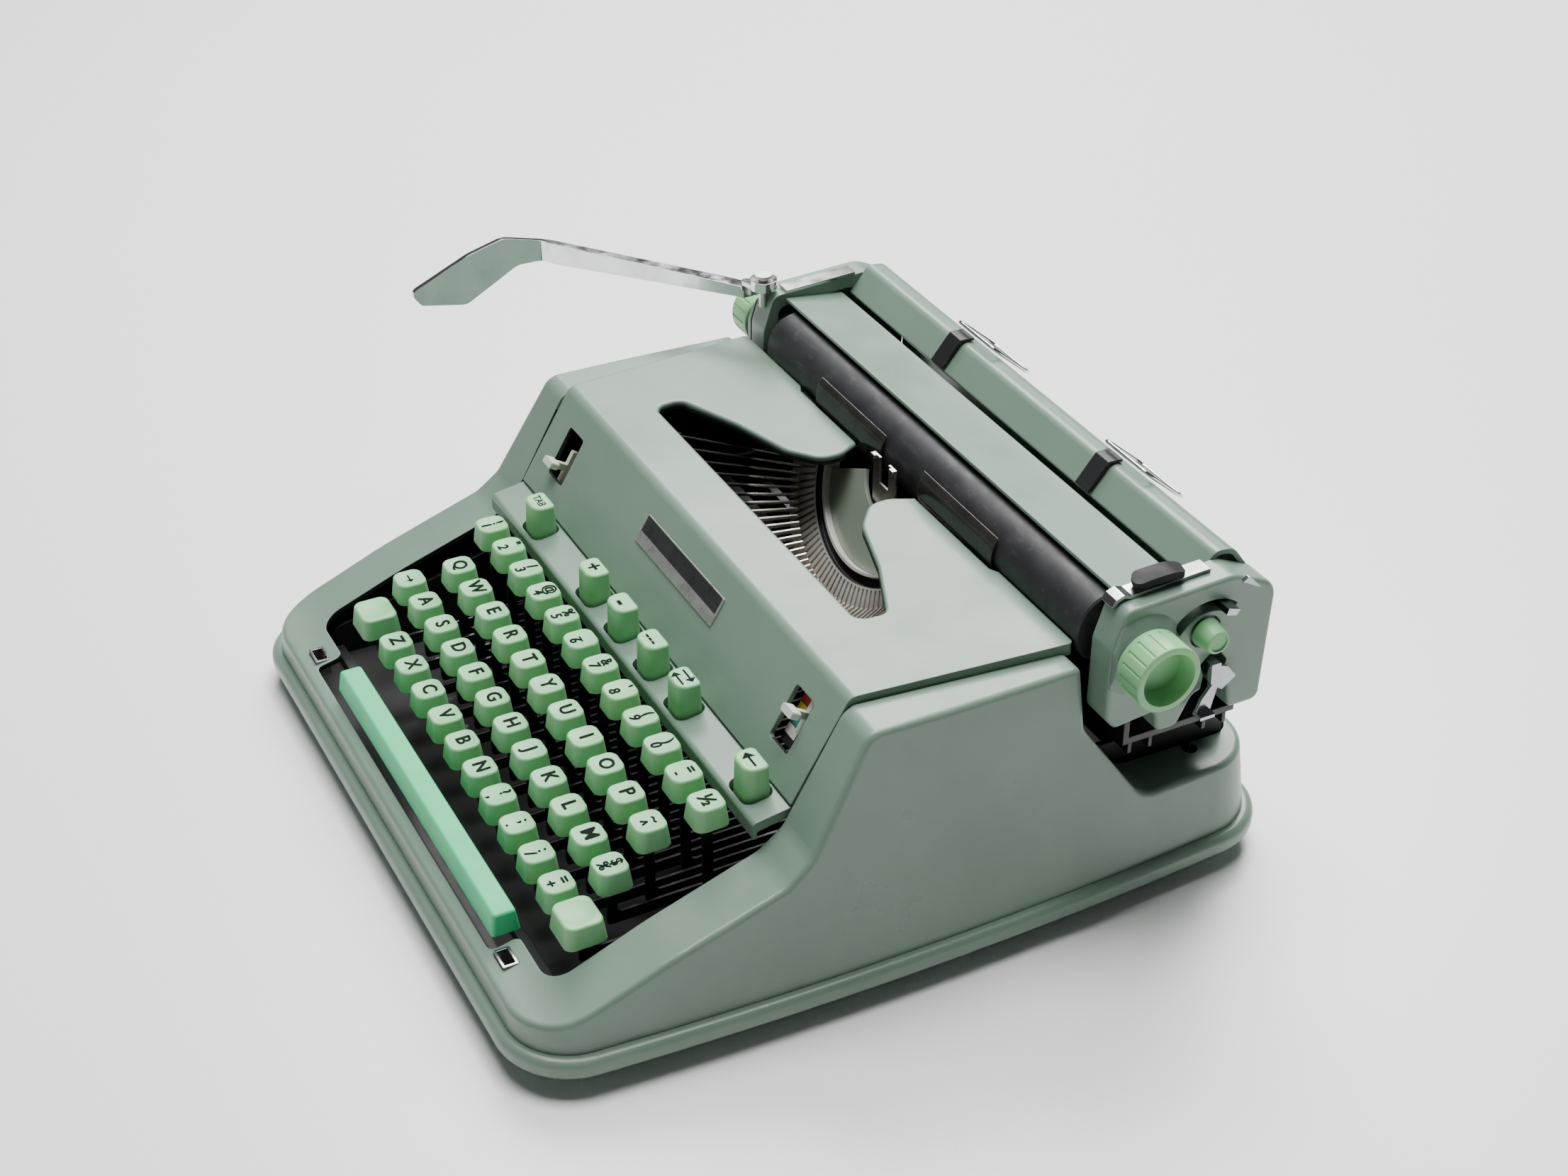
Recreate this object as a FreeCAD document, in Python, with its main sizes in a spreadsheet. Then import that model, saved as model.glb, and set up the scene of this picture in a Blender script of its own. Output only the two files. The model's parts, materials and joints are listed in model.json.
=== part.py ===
import FreeCAD, Part
import math
import os
import re

from FreeCAD import Placement, Rotation, Vector

os.makedirs("parts", exist_ok=True)
doc = FreeCAD.newDocument("typewriter")

# Driving dimensions in millimetres and degrees. The typist sits on the -Y side, +X is the typist's right.
# Inside the machine x = 0 is the body's centre plane and z = 0 is the table top.
SIZES = {
    "centre_x": 26.5,
    "centre_y": 4.0,
    "foot_high": 8,
    "foot_rad": 9,
    "tray_half": 163.2,
    "tray_bow": 7.6,
    "tray_front": -165,
    "tray_rear": 157,
    "tray_high": 8.5,
    "tray_floor": 2.2,
    "tray_ledge": 11,
    "corner_rad": 30,
    "shell_inset": 4.5,
    "shell_lean": 13,
    "wall": 2.4,
    "edge_round": 2.5,
    "body_top": 112,
    "lip_top": 28.5,
    "well_half": 128,
    "well_front": -143,
    "bar_well_half": 99,
    "bar_well_front": -154.5,
    "shelf_front": -61.5,
    "shelf_rear": -43,
    "shelf_top": 71.6,
    "shelf_rise": 2.9,
    "shelf_thick": 4,
    "hood_front": -22.5,
    "hood_foot": -46.5,
    "hood_top": 115,
    "hood_foot_top": 75,
    "hood_half_front": 127,
    "hood_half_rear": 134.5,
    "hood_rear": 64.2,
    "hood_wall": 2,
    "mouth_shift": -4,
    "lip_wide": 1.6,
    "lip_deep": 3,
    "mouth_round": 1.4,
    "seam": 0.7,
    "deck_top": 45.5,
    "rear_well": 147.6,
    "rear_well_half": 131,
    "frame_half": 130.2,
    "plate_thick": 2.6,
    "notch_y": 125,
    "notch_rad": 3.2,
    "pitch": 19.05,
    "cap_foot": 14.2,
    "cap_crown": 12.4,
    "cap_high": 9,
    "row4_x": -98.55,
    "row4_y": -72.4,
    "row4_z": 75.7,
    "row3_x": -88.97,
    "row3_y": -91.5,
    "row3_z": 66.3,
    "row2_x": -84.26,
    "row2_y": -109.1,
    "row2_z": 56.5,
    "row1_x": -74.73,
    "row1_y": -126.2,
    "row1_z": 47.5,
    "lock_x": -103.31,
    "shift_x_left": -100.5,
    "shift_x_right": 115.8,
    "shift_wide": 19,
    "shift_deep": 17,
    "lever_thick": 1.2,
    "lever_low": 28,
    "lever_tall": 5,
    "pivot_y": 62,
    "pivot_z": 30.5,
    "pivot_rad": 2,
    "run_fit": 0.06,
    "bar_left": -76,
    "bar_right": 97,
    "bar_front": -152.5,
    "bar_deep": 11.5,
    "bar_top": 40,
    "bar_high": 9,
    "fkey_x": -90.5,
    "fkey_pitch": 28.5,
    "fkey_y": -53.5,
    "fkey_top": 86,
    "fkey_wide": 15,
    "fkey_deep": 10.8,
    "fkey_tall": 24,
    "fkey_gap": 0.9,
    "window_x": 105,
    "window_wide": 14,
    "window_long": 22.5,
    "window_along": 23.2,
    "latch_x": 106,
    "latch_y": -150.9,
    "latch_z": 27,
    "card_long": 56,
    "card_left": -66,
    "card_right": 21,
    "print_y": 65,
    "print_z": 118,
    "basket_dip": 63,
    "ring_out": 67.4,
    "plate_in": 20.4,
    "ring_in": 43.8,
    "groove_in": 45.2,
    "groove_out": 49.4,
    "groove_deep": 2.4,
    "ring_thick": 7,
    "ring_span": 71,
    "slot_wide": 1.1,
    "bar_pivot": 59,
    "typebar_long": 55,
    "typebar_swing": 130,
    "typebars": 44,
    "spool_x": 103,
    "spool_y": 40,
    "spool_z": 97.5,
    "spool_rad": 21,
    "spool_tall": 13,
    "spool_pin": 2.44,
    "carriage_x": 10,
    "carriage_half": 132,
    "housing_wide": 13,
    "platen_y": 81.6,
    "platen_z": 117.5,
    "platen_rad": 15,
    "shaft_rad": 4,
    "knob_rad": 13.5,
    "knob_deep": 14.2,
    "knob_gap": 3.8,
    "rail_y_front": 95,
    "rail_y_rear": 129,
    "rail_z": 58,
    "rail_side": 7,
    "rail_half": 129.8,
    "lever_y": 72,
    "lever_z": 140,
    "lever_reach": 97.5,
    "lever_thick_bar": 2.4,
    "stud_rad": 2,
    "roller_rad": 5,
    "roller_pin": 1.5,
    "button_y": 109.5,
    "button_z": 119,
    "button_rad": 6,
    "slot_y": 110.5,
    "slot_z": 113,
    "slot_inner": 14.2,
    "slot_outer": 19.2,
    "bail_rad": 0.8,
    "bail_wide": 30,
    "bail_y": 125.4,
    "bail_z": 146.9,
    "bail_foot_y": 144.4,
    "bail_foot_z": 130.5,
}

sheet = doc.addObject("Spreadsheet::Sheet", "dims")
for line, (alias, number) in enumerate(SIZES.items(), start=1):
    sheet.set(f"A{line}", alias)
    sheet.set(f"B{line}", str(number))
    sheet.setAlias(f"B{line}", alias)
doc.recompute()

PIECES = []


def size(alias):
    """The sheet's number for one alias."""
    return float(sheet.get(alias))


def bound(text):
    """A FreeCAD expression in which every alias is read from the sheet."""
    return re.sub(r"[a-z_][a-z_0-9]*", lambda word: "dims." + word.group(0), str(text))


def bind(item, prop, text):
    item.setExpression(prop, bound(text))


def named(item, label):
    """Put a finished piece in the shared frame, whose origin is under the middle of the whole machine."""
    item.Label = label
    bind(item, "Placement.Base.x", "centre_x")
    bind(item, "Placement.Base.y", "centre_y")
    PIECES.append(item)
    return item


def shaped(label, shape):
    """A sub-part made from a shape worked out from the sheet."""
    item = doc.addObject("Part::Feature", label)
    item.Shape = Part.makeCompound(shape.Solids)
    return named(item, label)


def box(label, sides, corner):
    """A Part::Box whose sides and corner are expressions on the sheet."""
    item = doc.addObject("Part::Box", label)
    for prop, text in zip(("Length", "Width", "Height"), sides):
        bind(item, prop, text)
    for prop, text in zip("xyz", corner):
        bind(item, "Placement.Base." + prop, text)
    return item


def rod(label, radius, length, start):
    """A Part::Cylinder along +X whose sizes are expressions on the sheet."""
    item = doc.addObject("Part::Cylinder", label)
    bind(item, "Radius", radius)
    bind(item, "Height", length)
    item.Placement = Placement(Vector(), Rotation(Vector(0, 1, 0), 90))
    for prop, text in zip("xyz", start):
        bind(item, "Placement.Base." + prop, text)
    return item


def group(label, parts):
    """Several separate solids in one node."""
    item = doc.addObject("Part::Compound", label)
    item.Links = parts
    return named(item, label)


# ---- outlines -------------------------------------------------------------------------------------------


def rounded(points):
    """Edges of a closed outline whose corners (x, y, radius) are rounded with arcs, at z = 0."""
    ends = []
    count = len(points)
    for index, (x, y, radius) in enumerate(points):
        here = Vector(x, y, 0)
        back = Vector(*points[index - 1][:2], 0) - here
        ahead = Vector(*points[(index + 1) % count][:2], 0) - here
        back.normalize()
        ahead.normalize()
        if radius == 0:
            ends.append((here, here, here))
            continue
        half = back.getAngle(ahead) / 2
        reach = radius / math.tan(half)
        middle = back + ahead
        middle.normalize()
        inward = here + middle * (radius / math.sin(half))
        ends.append((here + back * reach, inward - middle * radius, here + ahead * reach))
    edges = []
    for index, (start, bulge, stop) in enumerate(ends):
        if (stop - start).Length > 1e-6:
            edges.append(Part.Arc(start, bulge, stop).toShape())
        after = ends[(index + 1) % count][0]
        if (after - stop).Length > 1e-6:
            edges.append(Part.LineSegment(stop, after).toShape())
    return edges


def flat_prism(points, low, high):
    """A prism standing on an outline of (x, y, radius) corners."""
    face = Part.Face(Part.Wire(rounded(points)))
    face.translate(Vector(0, 0, low))
    return face.extrude(Vector(0, 0, high - low))


def side_prism(points, left, right):
    """A prism along X on an outline of (y, z, radius) corners."""
    face = Part.Face(Part.Wire(rounded(points)))
    face.Placement = Placement(Vector(left, 0, 0), Rotation(Vector(1, 1, 1), 120))
    return face.extrude(Vector(right - left, 0, 0))


def square_points(half_x, half_y, radius, x=0, y=0):
    """A rounded rectangle's four corners."""
    signs = ((-1, -1), (1, -1), (1, 1), (-1, 1))
    return [(x + a * half_x, y + b * half_y, radius) for a, b in signs]


def lofted(points_low, points_high, low, high):
    """A solid between two outlines of the same corners at two heights."""
    wires = []
    for points, level in ((points_low, low), (points_high, high)):
        wire = Part.Wire(rounded(points))
        wire.translate(Vector(0, 0, level))
        wires.append(wire)
    return Part.makeLoft(wires, True, True)


def bowed_wire(half, front, rear, level):
    """The body's plan: straight front and rear, sides bowed outwards."""
    bow = size("tray_bow")
    middle = (front + rear) / 2
    corners = [
        Vector(-half + bow, front, level),
        Vector(half - bow, front, level),
        Vector(half - bow, rear, level),
        Vector(-half + bow, rear, level),
    ]
    edges = [
        Part.LineSegment(corners[0], corners[1]).toShape(),
        Part.Arc(corners[1], Vector(half, middle, level), corners[2]).toShape(),
        Part.LineSegment(corners[2], corners[3]).toShape(),
        Part.Arc(corners[3], Vector(-half, middle, level), corners[0]).toShape(),
    ]
    return Part.Wire(edges)


def bowed_block(inset, low, high, lean=0, radius=None):
    """The body's plan, brought in by an inset, between two levels; lean draws the top in further."""
    half = size("tray_half") - inset
    front = size("tray_front") + inset
    rear = size("tray_rear") - inset
    foot = bowed_wire(half, front, rear, low)
    crown = bowed_wire(half - lean, front + lean / 2, rear - lean / 2, high)
    block = Part.makeLoft([foot, crown], True, True)
    uprights = [e for e in block.Edges if abs(e.Vertexes[0].Z - e.Vertexes[-1].Z) > (high - low) / 2]
    return block.makeFillet(radius or size("corner_rad") - inset, uprights)


def edges_at(shape, level, tolerance=0.01):
    """Every edge that lies flat at one height."""
    found = []
    for edge in shape.Edges:
        bounds = edge.BoundBox
        if abs(bounds.ZMin - level) < tolerance and abs(bounds.ZMax - level) < tolerance:
            found.append(edge)
    return found


# ---- housing --------------------------------------------------------------------------------------------


def base_tray():
    low = size("foot_high")
    high = low + size("tray_high")
    rim_round = 3.2
    pan = bowed_block(0, low, high)
    pan = pan.makeFillet(rim_round, edges_at(pan, high) + edges_at(pan, low))
    floor = low + size("tray_floor")
    ledge_low = high - size("tray_floor")
    hollow = bowed_block(3, floor, ledge_low)
    mouth = bowed_block(size("tray_ledge"), floor, high + 1)
    return shaped("base_tray", pan.cut(hollow).cut(mouth))


def feet():
    spots = [(-118, -128), (118, -128), (-118, 122), (118, 122)]
    stands = []
    for number, (x, y) in enumerate(spots):
        foot = doc.addObject("Part::Cone", f"foot_{number}")
        bind(foot, "Radius1", "foot_rad-1.5")
        bind(foot, "Radius2", "foot_rad")
        bind(foot, "Height", "foot_high")
        foot.Placement.Base = Vector(x, y, 0)
        stands.append(foot)
    return group("feet", stands)


def shell_profile(drop):
    """The side view of the body's upper line, lowered by a drop."""
    lip = size("lip_top") - drop
    top = size("body_top") - drop
    deck = size("deck_top") - drop
    # the rear drop and the front slope move inwards with the wall as well
    return [
        (-180, 0, 0),
        (-180, lip - 6, 0),
        (-156, lip - 1.5, 20),
        (-146, lip, 60),
        (-106, 44.5 - drop, 120),
        (-60 + drop / 2, 60 - drop, 14),
        (-50 + drop, 68 - drop, 12),
        (-25 + drop, top, 8),
        (63.5 - drop, top - 1, 3),
        (65 - drop, 84 - drop, 8),
        (91 - drop, deck + 1, 14),
        (142, deck, 60),
        (180, deck + 3, 0),
        (180, 0, 0),
    ]


def keyboard_well():
    """The opening over the keys; a narrower part reaches forward for the space bar."""
    well, front = size("well_half"), size("well_front")
    bar, bar_front = size("bar_well_half"), size("bar_well_front")
    rear = size("hood_front")
    points = [
        (-bar, bar_front, 3),
        (bar, bar_front, 3),
        (bar, front, 3),
        (well, front, 9),
        (well, rear, 0),
        (-well, rear, 0),
        (-well, front, 9),
        (-bar, front, 3),
    ]
    return flat_prism(points, 17, 200)


def hood_well():
    """The opening that the hood drops into, one seam wider than the hood."""
    gap = size("seam")
    front_half = size("hood_half_front") + gap
    rear_half = size("hood_half_rear") + gap
    front = size("hood_front")
    points = [
        (-front_half, size("shelf_front") - 1, 0),
        (front_half, size("shelf_front") - 1, 0),
        (front_half, front, 0),
        (rear_half, 75, 0),
        (-rear_half, 75, 0),
        (-front_half, front, 0),
    ]
    return flat_prism(points, 17, 200)


def carriage_well():
    """The open space in which the carriage runs."""
    half = size("rear_well_half")
    points = [
        (-half, 60, 0),
        (half, 60, 0),
        (half, size("rear_well"), 8),
        (-half, size("rear_well"), 8),
    ]
    return flat_prism(points, 17, 200)


def deck_notches():
    """A keyhole notch in the rear deck's inner edge on each side."""
    notches = []
    radius, y = size("notch_rad"), size("notch_y")
    for side in (-1, 1):
        x = side * (size("rear_well_half") + radius)
        hole = Part.makeCylinder(radius, 30, Vector(x, y, 30))
        corner = Vector(x - radius - side * radius, y - 0.6 * radius, 30)
        mouth = Part.makeBox(2 * radius, 1.2 * radius, 30, corner)
        notches.append(hole.fuse(mouth))
    return notches


def upper_edges(block, low):
    """The edges where the body's walls meet its upper faces."""
    chain = []
    for edge in block.Edges:
        bounds = edge.BoundBox
        upright = bounds.ZMin < low + 1 and bounds.ZMax > low + 10
        across = bounds.XLength > 200 and -150 < bounds.YMin < 150
        if bounds.ZMax > low + 1 and not upright and not across:
            chain.append(edge)
    return chain


def body_shell():
    low = size("foot_high") + size("tray_high")
    high = size("body_top") + 4
    inset, lean, wall = size("shell_inset"), size("shell_lean"), size("wall")
    outer = bowed_block(inset, low, high, lean)
    outer = outer.common(side_prism(shell_profile(0), -200, 200))
    outer = outer.makeFillet(size("edge_round"), upper_edges(outer, low))
    inner = bowed_block(inset + wall, low - 1, high, lean)
    inner = inner.common(side_prism(shell_profile(wall), -200, 200))
    skin = outer.cut(inner)
    for opening in [keyboard_well(), hood_well(), carriage_well()] + deck_notches():
        skin = skin.cut(opening)
    for side in (-1, 1):
        socket = flat_prism(square_points(5.2, 3.2, 0.6, side * size("latch_x"), size("latch_y")), 17, 60)
        skin = skin.cut(socket)
    return shaped("body_shell", skin)


def latch_sockets():
    """Two chrome-edged sockets that take the travel lid's hooks."""
    frames = []
    for side in (-1, 1):
        x, y, z = side * size("latch_x"), size("latch_y"), size("latch_z")
        ring = flat_prism(square_points(5.1, 3.1, 0.6, x, y), z - 6, z + 1.6)
        ring = ring.cut(flat_prism(square_points(4.1, 2.1, 0.4, x, y), z - 5, z + 3))
        frames.append(ring)
    return shaped("latch_sockets", Part.makeCompound(frames))


def hood_side(drop):
    """The hood's side view: foot, sloping face and level top."""
    foot_y, foot_z = size("hood_foot"), size("hood_foot_top")
    front, top = size("hood_front"), size("hood_top")
    rear = size("hood_rear")
    return [
        (foot_y + 1.2 * drop, foot_z, 0),
        (front + 0.6 * drop, top - drop, 5 - drop),
        (rear + drop + 3, top - drop, 0),
        (rear + drop + 3, foot_z, 0),
    ]


def hood_plan(inset):
    front_half = size("hood_half_front") - inset
    rear_half = size("hood_half_rear") - inset
    front, rear = size("hood_front"), size("hood_rear")
    wing = rear + 2.1
    return [
        (-front_half, -80, 0),
        (front_half, -80, 0),
        (front_half, front, 0),
        (rear_half, wing, 2),
        (82, wing, 1),
        (78, rear, 1),
        (-78, rear, 1),
        (-82, wing, 1),
        (-rear_half, wing, 2),
        (-front_half, front, 0),
    ]


def hood_mouth():
    """The bell-shaped opening over the typebars, open to the rear between its two lobes."""
    shift = size("mouth_shift")
    right = [
        (24, 80, 0),
        (23.5, 64, 4),
        (19, 55, 9),
        (19.5, 46, 9),
        (32, 36, 14),
        (61, 27.5, 30),
        (90, 15, 5),
        (89, 3, 5),
    ]
    left = [(-x - 1, y, r) for x, y, r in reversed(right)]
    return flat_prism([(x + shift, y, r) for x, y, r in right + left], 60, 140)


def face_frame(x, along):
    """A placement on the hood's sloping face, a distance up it; local X runs across, Y up the face."""
    rise = size("hood_top") - size("hood_foot_top")
    run = size("hood_front") - size("hood_foot")
    slope = math.atan2(rise, run)
    y = size("hood_foot") + along * math.cos(slope)
    z = size("hood_foot_top") + along * math.sin(slope)
    return Placement(Vector(x, y, z), Rotation(Vector(1, 0, 0), math.degrees(slope)))


def on_face(solid, x, along):
    solid.Placement = face_frame(x, along)
    return solid


def windows():
    """The two slots in the sloping face for the ribbon and touch levers."""
    half = size("window_wide") / 2
    reach = size("window_long") / 2
    holes = []
    for side in (-1, 1):
        hole = flat_prism(square_points(half, reach, 1.5), -8, 4)
        holes.append(on_face(hole, side * size("window_x"), size("window_along")))
    return holes


def mouth_lip(mouth):
    """A turned-down lip that follows the mouth on the inside of the hood."""
    foot = min(mouth.Faces, key=lambda face: face.CenterOfMass.z)
    band = foot.makeOffset2D(size("lip_wide")).extrude(Vector(0, 0, 100))
    depth = size("lip_deep")
    level = Part.makeBox(300, 58, depth, Vector(-150, 0, size("hood_top") - 1 - depth))
    return band.common(level)


def mouth_edges(skin):
    """The upper edges around the mouth, but for the straight rear edges of the hood."""
    found = []
    for edge in edges_at(skin, size("hood_top")):
        bounds = edge.BoundBox
        if max(abs(bounds.XMin), abs(bounds.XMax)) < 97 and bounds.YMin > 2 and bounds.YMax < 60.1:
            found.append(edge)
    return found


def hood():
    wall = size("hood_wall")
    outer = side_prism(hood_side(0), -200, 200).common(flat_prism(hood_plan(0), 40, 160))
    inner = side_prism(hood_side(wall), -200, 200).common(flat_prism(hood_plan(wall), 20, 160))
    mouth = hood_mouth()
    skin = outer.cut(inner).fuse(mouth_lip(mouth))
    # the rear stays open for the platen
    skin = skin.cut(Part.makeBox(300, 20, 60, Vector(-150, size("hood_rear") - 4, 50)))
    skin = skin.cut(mouth).removeSplitter()
    skin = skin.makeFillet(size("mouth_round"), mouth_edges(skin))
    for hole in windows():
        skin = skin.cut(hole)
    return shaped("hood", skin)


def key_shelf():
    """The strip between the keys and the hood, with a slot for each tall key."""
    front, rear = size("shelf_front"), size("shelf_rear")
    low = size("shelf_top") - size("shelf_thick")
    rise, thick = size("shelf_rise"), size("shelf_thick")
    section = [
        (front, low - 3, 0),
        (front + 1.6, low - 3, 0),
        (front + 1.6, low, 0),
        (rear, low + rise, 0),
        (rear, low + rise + thick, 0),
        (front, low + thick, 2),
    ]
    plate = side_prism(section, -127, 127)
    for slot in (0, 2, 3, 4, 5, 7):
        x = size("fkey_x") + slot * size("fkey_pitch")
        gap = size("fkey_gap")
        hole = square_points(size("fkey_wide") / 2 + gap, size("fkey_deep") / 2 + gap, 4, x, size("fkey_y"))
        plate = plate.cut(flat_prism(hole, 40, 100))
    return shaped("key_shelf", plate)


def nameplate():
    plate = flat_prism(square_points(35, 6.2, 1), 0, 0.6)
    return shaped("nameplate", on_face(plate, 3, 29))


def touch_scale():
    """The coloured scale behind the right window."""
    plate = flat_prism(square_points(8.6, 12, 0.8), -7, -6)
    return shaped("touch_scale", on_face(plate, size("window_x") + 1, size("window_along")))


def window_lever(label, side, across, along):
    """A small tab that stands out of a window, on a flat slider behind the face."""
    slider = flat_prism(square_points(1.2, 8, 0.5, across, 0), -5.4, -3.2)
    neck = flat_prism(square_points(1.2, 1.6, 0.4, across, 0), -5.4, 3)
    tab = flat_prism(square_points(3.8, 1.6, 0.9, across, 0), 2, 6)
    lever = slider.fuse([neck, tab]).removeSplitter()
    return shaped(label, on_face(lever, side * size("window_x"), along))


# ---- frame ----------------------------------------------------------------------------------------------


def chassis():
    """The pressed-steel inner frame: two side plates and the bars that join them."""
    floor = size("foot_high") + size("tray_floor")
    outline = [
        (-138, floor, 0),
        (-138, 24, 4),
        (-62, 44, 10),
        (-44, 60, 10),
        (52, 60, 8),
        (62, size("rail_z"), 4),
        (143, size("rail_z"), 3),
        (143, floor, 0),
    ]
    half = size("frame_half")
    inside = half - size("plate_thick")
    frame = side_prism(outline, -half, -inside)
    frame = frame.fuse(side_prism(outline, inside, half))
    bars = [
        (-138, -134, floor, 14.5),
        (68, 72, floor, 44),
        (40, 50, 50, 54),
        (92, 100, 52, size("rail_z")),
        (126, 134, 52, size("rail_z")),
        (139, 143, floor, 40),
    ]
    for front, rear, low, high in bars:
        frame = frame.fuse(Part.makeBox(2 * half, rear - front, high - low, Vector(-half, front, low)))
    # two posts carry the type segment and are cut flush with its back
    posts = [Part.makeBox(6, 6, 60, Vector(x - 3, 43, 50)) for x in (-34, 34)]
    above = Part.makeBox(400, 400, 200, Vector(-200, -200, -size("ring_thick")))
    above.Placement = basket_placement().multiply(above.Placement)
    posts = [one.cut(above) for one in posts]
    return shaped("chassis", frame.fuse(posts + spool_brackets()).removeSplitter())


def spool_brackets():
    """A spindle and its hanger on each side for the ribbon spools."""
    parts = []
    for side in (-1, 1):
        x, y, z = side * size("spool_x"), size("spool_y"), size("spool_z")
        parts.append(Part.makeCylinder(size("spool_pin"), size("spool_tall") + 8, Vector(x, y, z - 8)))
        parts.append(Part.makeCylinder(6, 3, Vector(x, y, z - 4)))
        hanger_x = size("frame_half") - 6
        reach = hanger_x - size("spool_x") + 1.2
        inner = min(x, x + side * reach)
        parts.append(Part.makeBox(reach, 12, 2, Vector(inner, y - 6, z - 8)))
        parts.append(Part.makeBox(2.4, 12, z - 64, Vector(side * hanger_x - 1.2, y - 6, 58)))
        parts.append(Part.makeBox(6, 12, 2, Vector(side * (hanger_x + 2.4) - 3, y - 6, 58)))
    return parts


def lever_shaft():
    return named_rod("lever_shaft", "pivot_rad", "2*(frame_half-plate_thick)",
                     ("centre_x-frame_half+plate_thick", "centre_y+pivot_y", "pivot_z"))


def named_rod(label, radius, length, start):
    """A lone rod: its own placement carries the shared frame's offset."""
    item = rod(label, radius, length, start)
    item.Label = label
    PIECES.append(item)
    return item


# ---- keys -----------------------------------------------------------------------------------------------


def cap(x, y, top, wide, deep, high, draw):
    """A key cap: a drawn-in block with a dished top."""
    foot = square_points(wide / 2, deep / 2, 3.6, x, y)
    crown = square_points((wide - draw) / 2, (deep - draw) / 2, 4, x, y)
    block = lofted(foot, crown, top - high, top)
    block = block.makeFillet(1, edges_at(block, top))
    dish_rad = 42
    dish = Part.makeSphere(dish_rad, Vector(x, y, top + dish_rad - 0.55))
    return block.cut(dish)


def row_keys(row, count):
    """One row of type keys."""
    x, y, z = (size(f"row{row}_{axis}") for axis in "xyz")
    foot, crown = size("cap_foot"), size("cap_crown")
    caps = []
    for number in range(count):
        caps.append(cap(x + number * size("pitch"), y, z, foot, foot, size("cap_high"), foot - crown))
    return shaped(f"keys_row_{row}", Part.makeCompound(caps))


def lever_bar(x, y, top):
    """One key lever: an eye on the shaft, a bar towards the typist and a stem up to the cap."""
    thick = size("lever_thick")
    low, high = size("lever_low"), size("lever_low") + size("lever_tall")
    pivot_y, pivot_z = size("pivot_y"), size("pivot_z")
    outline = [
        (pivot_y, low, 0),
        (y - 2, low, 1.5),
        (y - 2, top, 0),
        (y + 2, top, 0),
        (y + 2, high, 2),
        (pivot_y, high, 0),
    ]
    bar = side_prism(outline, x - thick / 2, x + thick / 2)
    eye = Part.makeCylinder(4.5, thick, Vector(x - thick / 2, pivot_y, pivot_z), Vector(1, 0, 0))
    bore_rad = size("pivot_rad") + size("run_fit")
    bore = Part.makeCylinder(bore_rad, thick, Vector(x - thick / 2, pivot_y, pivot_z), Vector(1, 0, 0))
    return bar.fuse(eye).cut(bore).removeSplitter()


def row_levers(row, count):
    """The levers of one row; the rows' stagger keeps all of them side by side."""
    x, y, z = (size(f"row{row}_{axis}") for axis in "xyz")
    top = z - size("cap_high")
    bars = [lever_bar(x + number * size("pitch"), y, top) for number in range(count)]
    return shaped(f"levers_row_{row}", Part.makeCompound(bars))


def shift_key(label, x):
    key = cap(x, size("row1_y"), size("row1_z"), size("shift_wide"), size("shift_deep"), size("cap_high"), 2)
    return shaped(label, key)


def shift_bail():
    """Both shift keys stand on one frame that turns on the lever shaft."""
    top = size("row1_z") - size("cap_high")
    left, right = size("shift_x_left") + 4, size("shift_x_right") + 4
    y = size("row1_y")
    arms = [lever_bar(left, y, top), lever_bar(right, y, top)]
    cross = Part.makeBox(right - left, 4, 3, Vector(left, 53, 20.5))
    hanger = [Part.makeBox(1.2, 4, 8, Vector(x - 0.6, 53, 20.5)) for x in (left, right)]
    return shaped("shift_bail", arms[0].fuse([arms[1], cross] + hanger).removeSplitter())


def shift_lock():
    x, y, z = size("lock_x"), size("row2_y"), size("row2_z")
    foot = size("cap_foot")
    key = cap(x, y, z, foot, foot, size("cap_high"), foot - size("cap_crown"))
    stem = Part.makeBox(1.2, 4, 14, Vector(x - 0.6, y - 2, z - size("cap_high") - 13))
    return shaped("shift_lock", key.fuse(stem).removeSplitter())


def space_bar():
    left, right = size("bar_left"), size("bar_right")
    front, deep = size("bar_front"), size("bar_deep")
    top, high = size("bar_top"), size("bar_high")
    middle_x, middle_y = (left + right) / 2, front + deep / 2
    foot = square_points((right - left) / 2, deep / 2, 1.6, middle_x, middle_y)
    crown = square_points((right - left) / 2 - 1, deep / 2 - 1.2, 1.6, middle_x, middle_y)
    bar = lofted(foot, crown, top - high, top)
    bar = bar.makeFillet(1.4, edges_at(bar, top))
    foot_z = top - high - 6
    stems = [Part.makeBox(2, 5, 7, Vector(x, middle_y - 2.5, foot_z)) for x in (left + 20, right - 22)]
    return shaped("space_bar", bar.fuse(stems).removeSplitter())


def tall_key(label, slot):
    """A control key with a rounded front that slides in its slot in the shelf."""
    x, y, top = size("fkey_x") + slot * size("fkey_pitch"), size("fkey_y"), size("fkey_top")
    half_wide, half_deep = size("fkey_wide") / 2, size("fkey_deep") / 2

    def plan(draw):
        wide, deep = half_wide - draw, half_deep - draw
        return [
            (x - wide, y - deep, 4.6),
            (x + wide, y - deep, 4.6),
            (x + wide, y + deep, 2.4),
            (x - wide, y + deep, 2.4),
        ]

    block = lofted(plan(0), plan(0.6), top - size("fkey_tall"), top)
    return shaped(label, block.makeFillet(1.1, edges_at(block, top)))


# ---- type basket ----------------------------------------------------------------------------------------


def basket_axes():
    """The print point, the basket's downward direction and its outward normal."""
    dip = math.radians(size("basket_dip"))
    centre = Vector(0, size("print_y"), size("print_z"))
    down = Vector(0, -math.cos(dip), -math.sin(dip))
    normal = Vector(0, -math.sin(dip), math.cos(dip))
    return centre, down, normal


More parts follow.
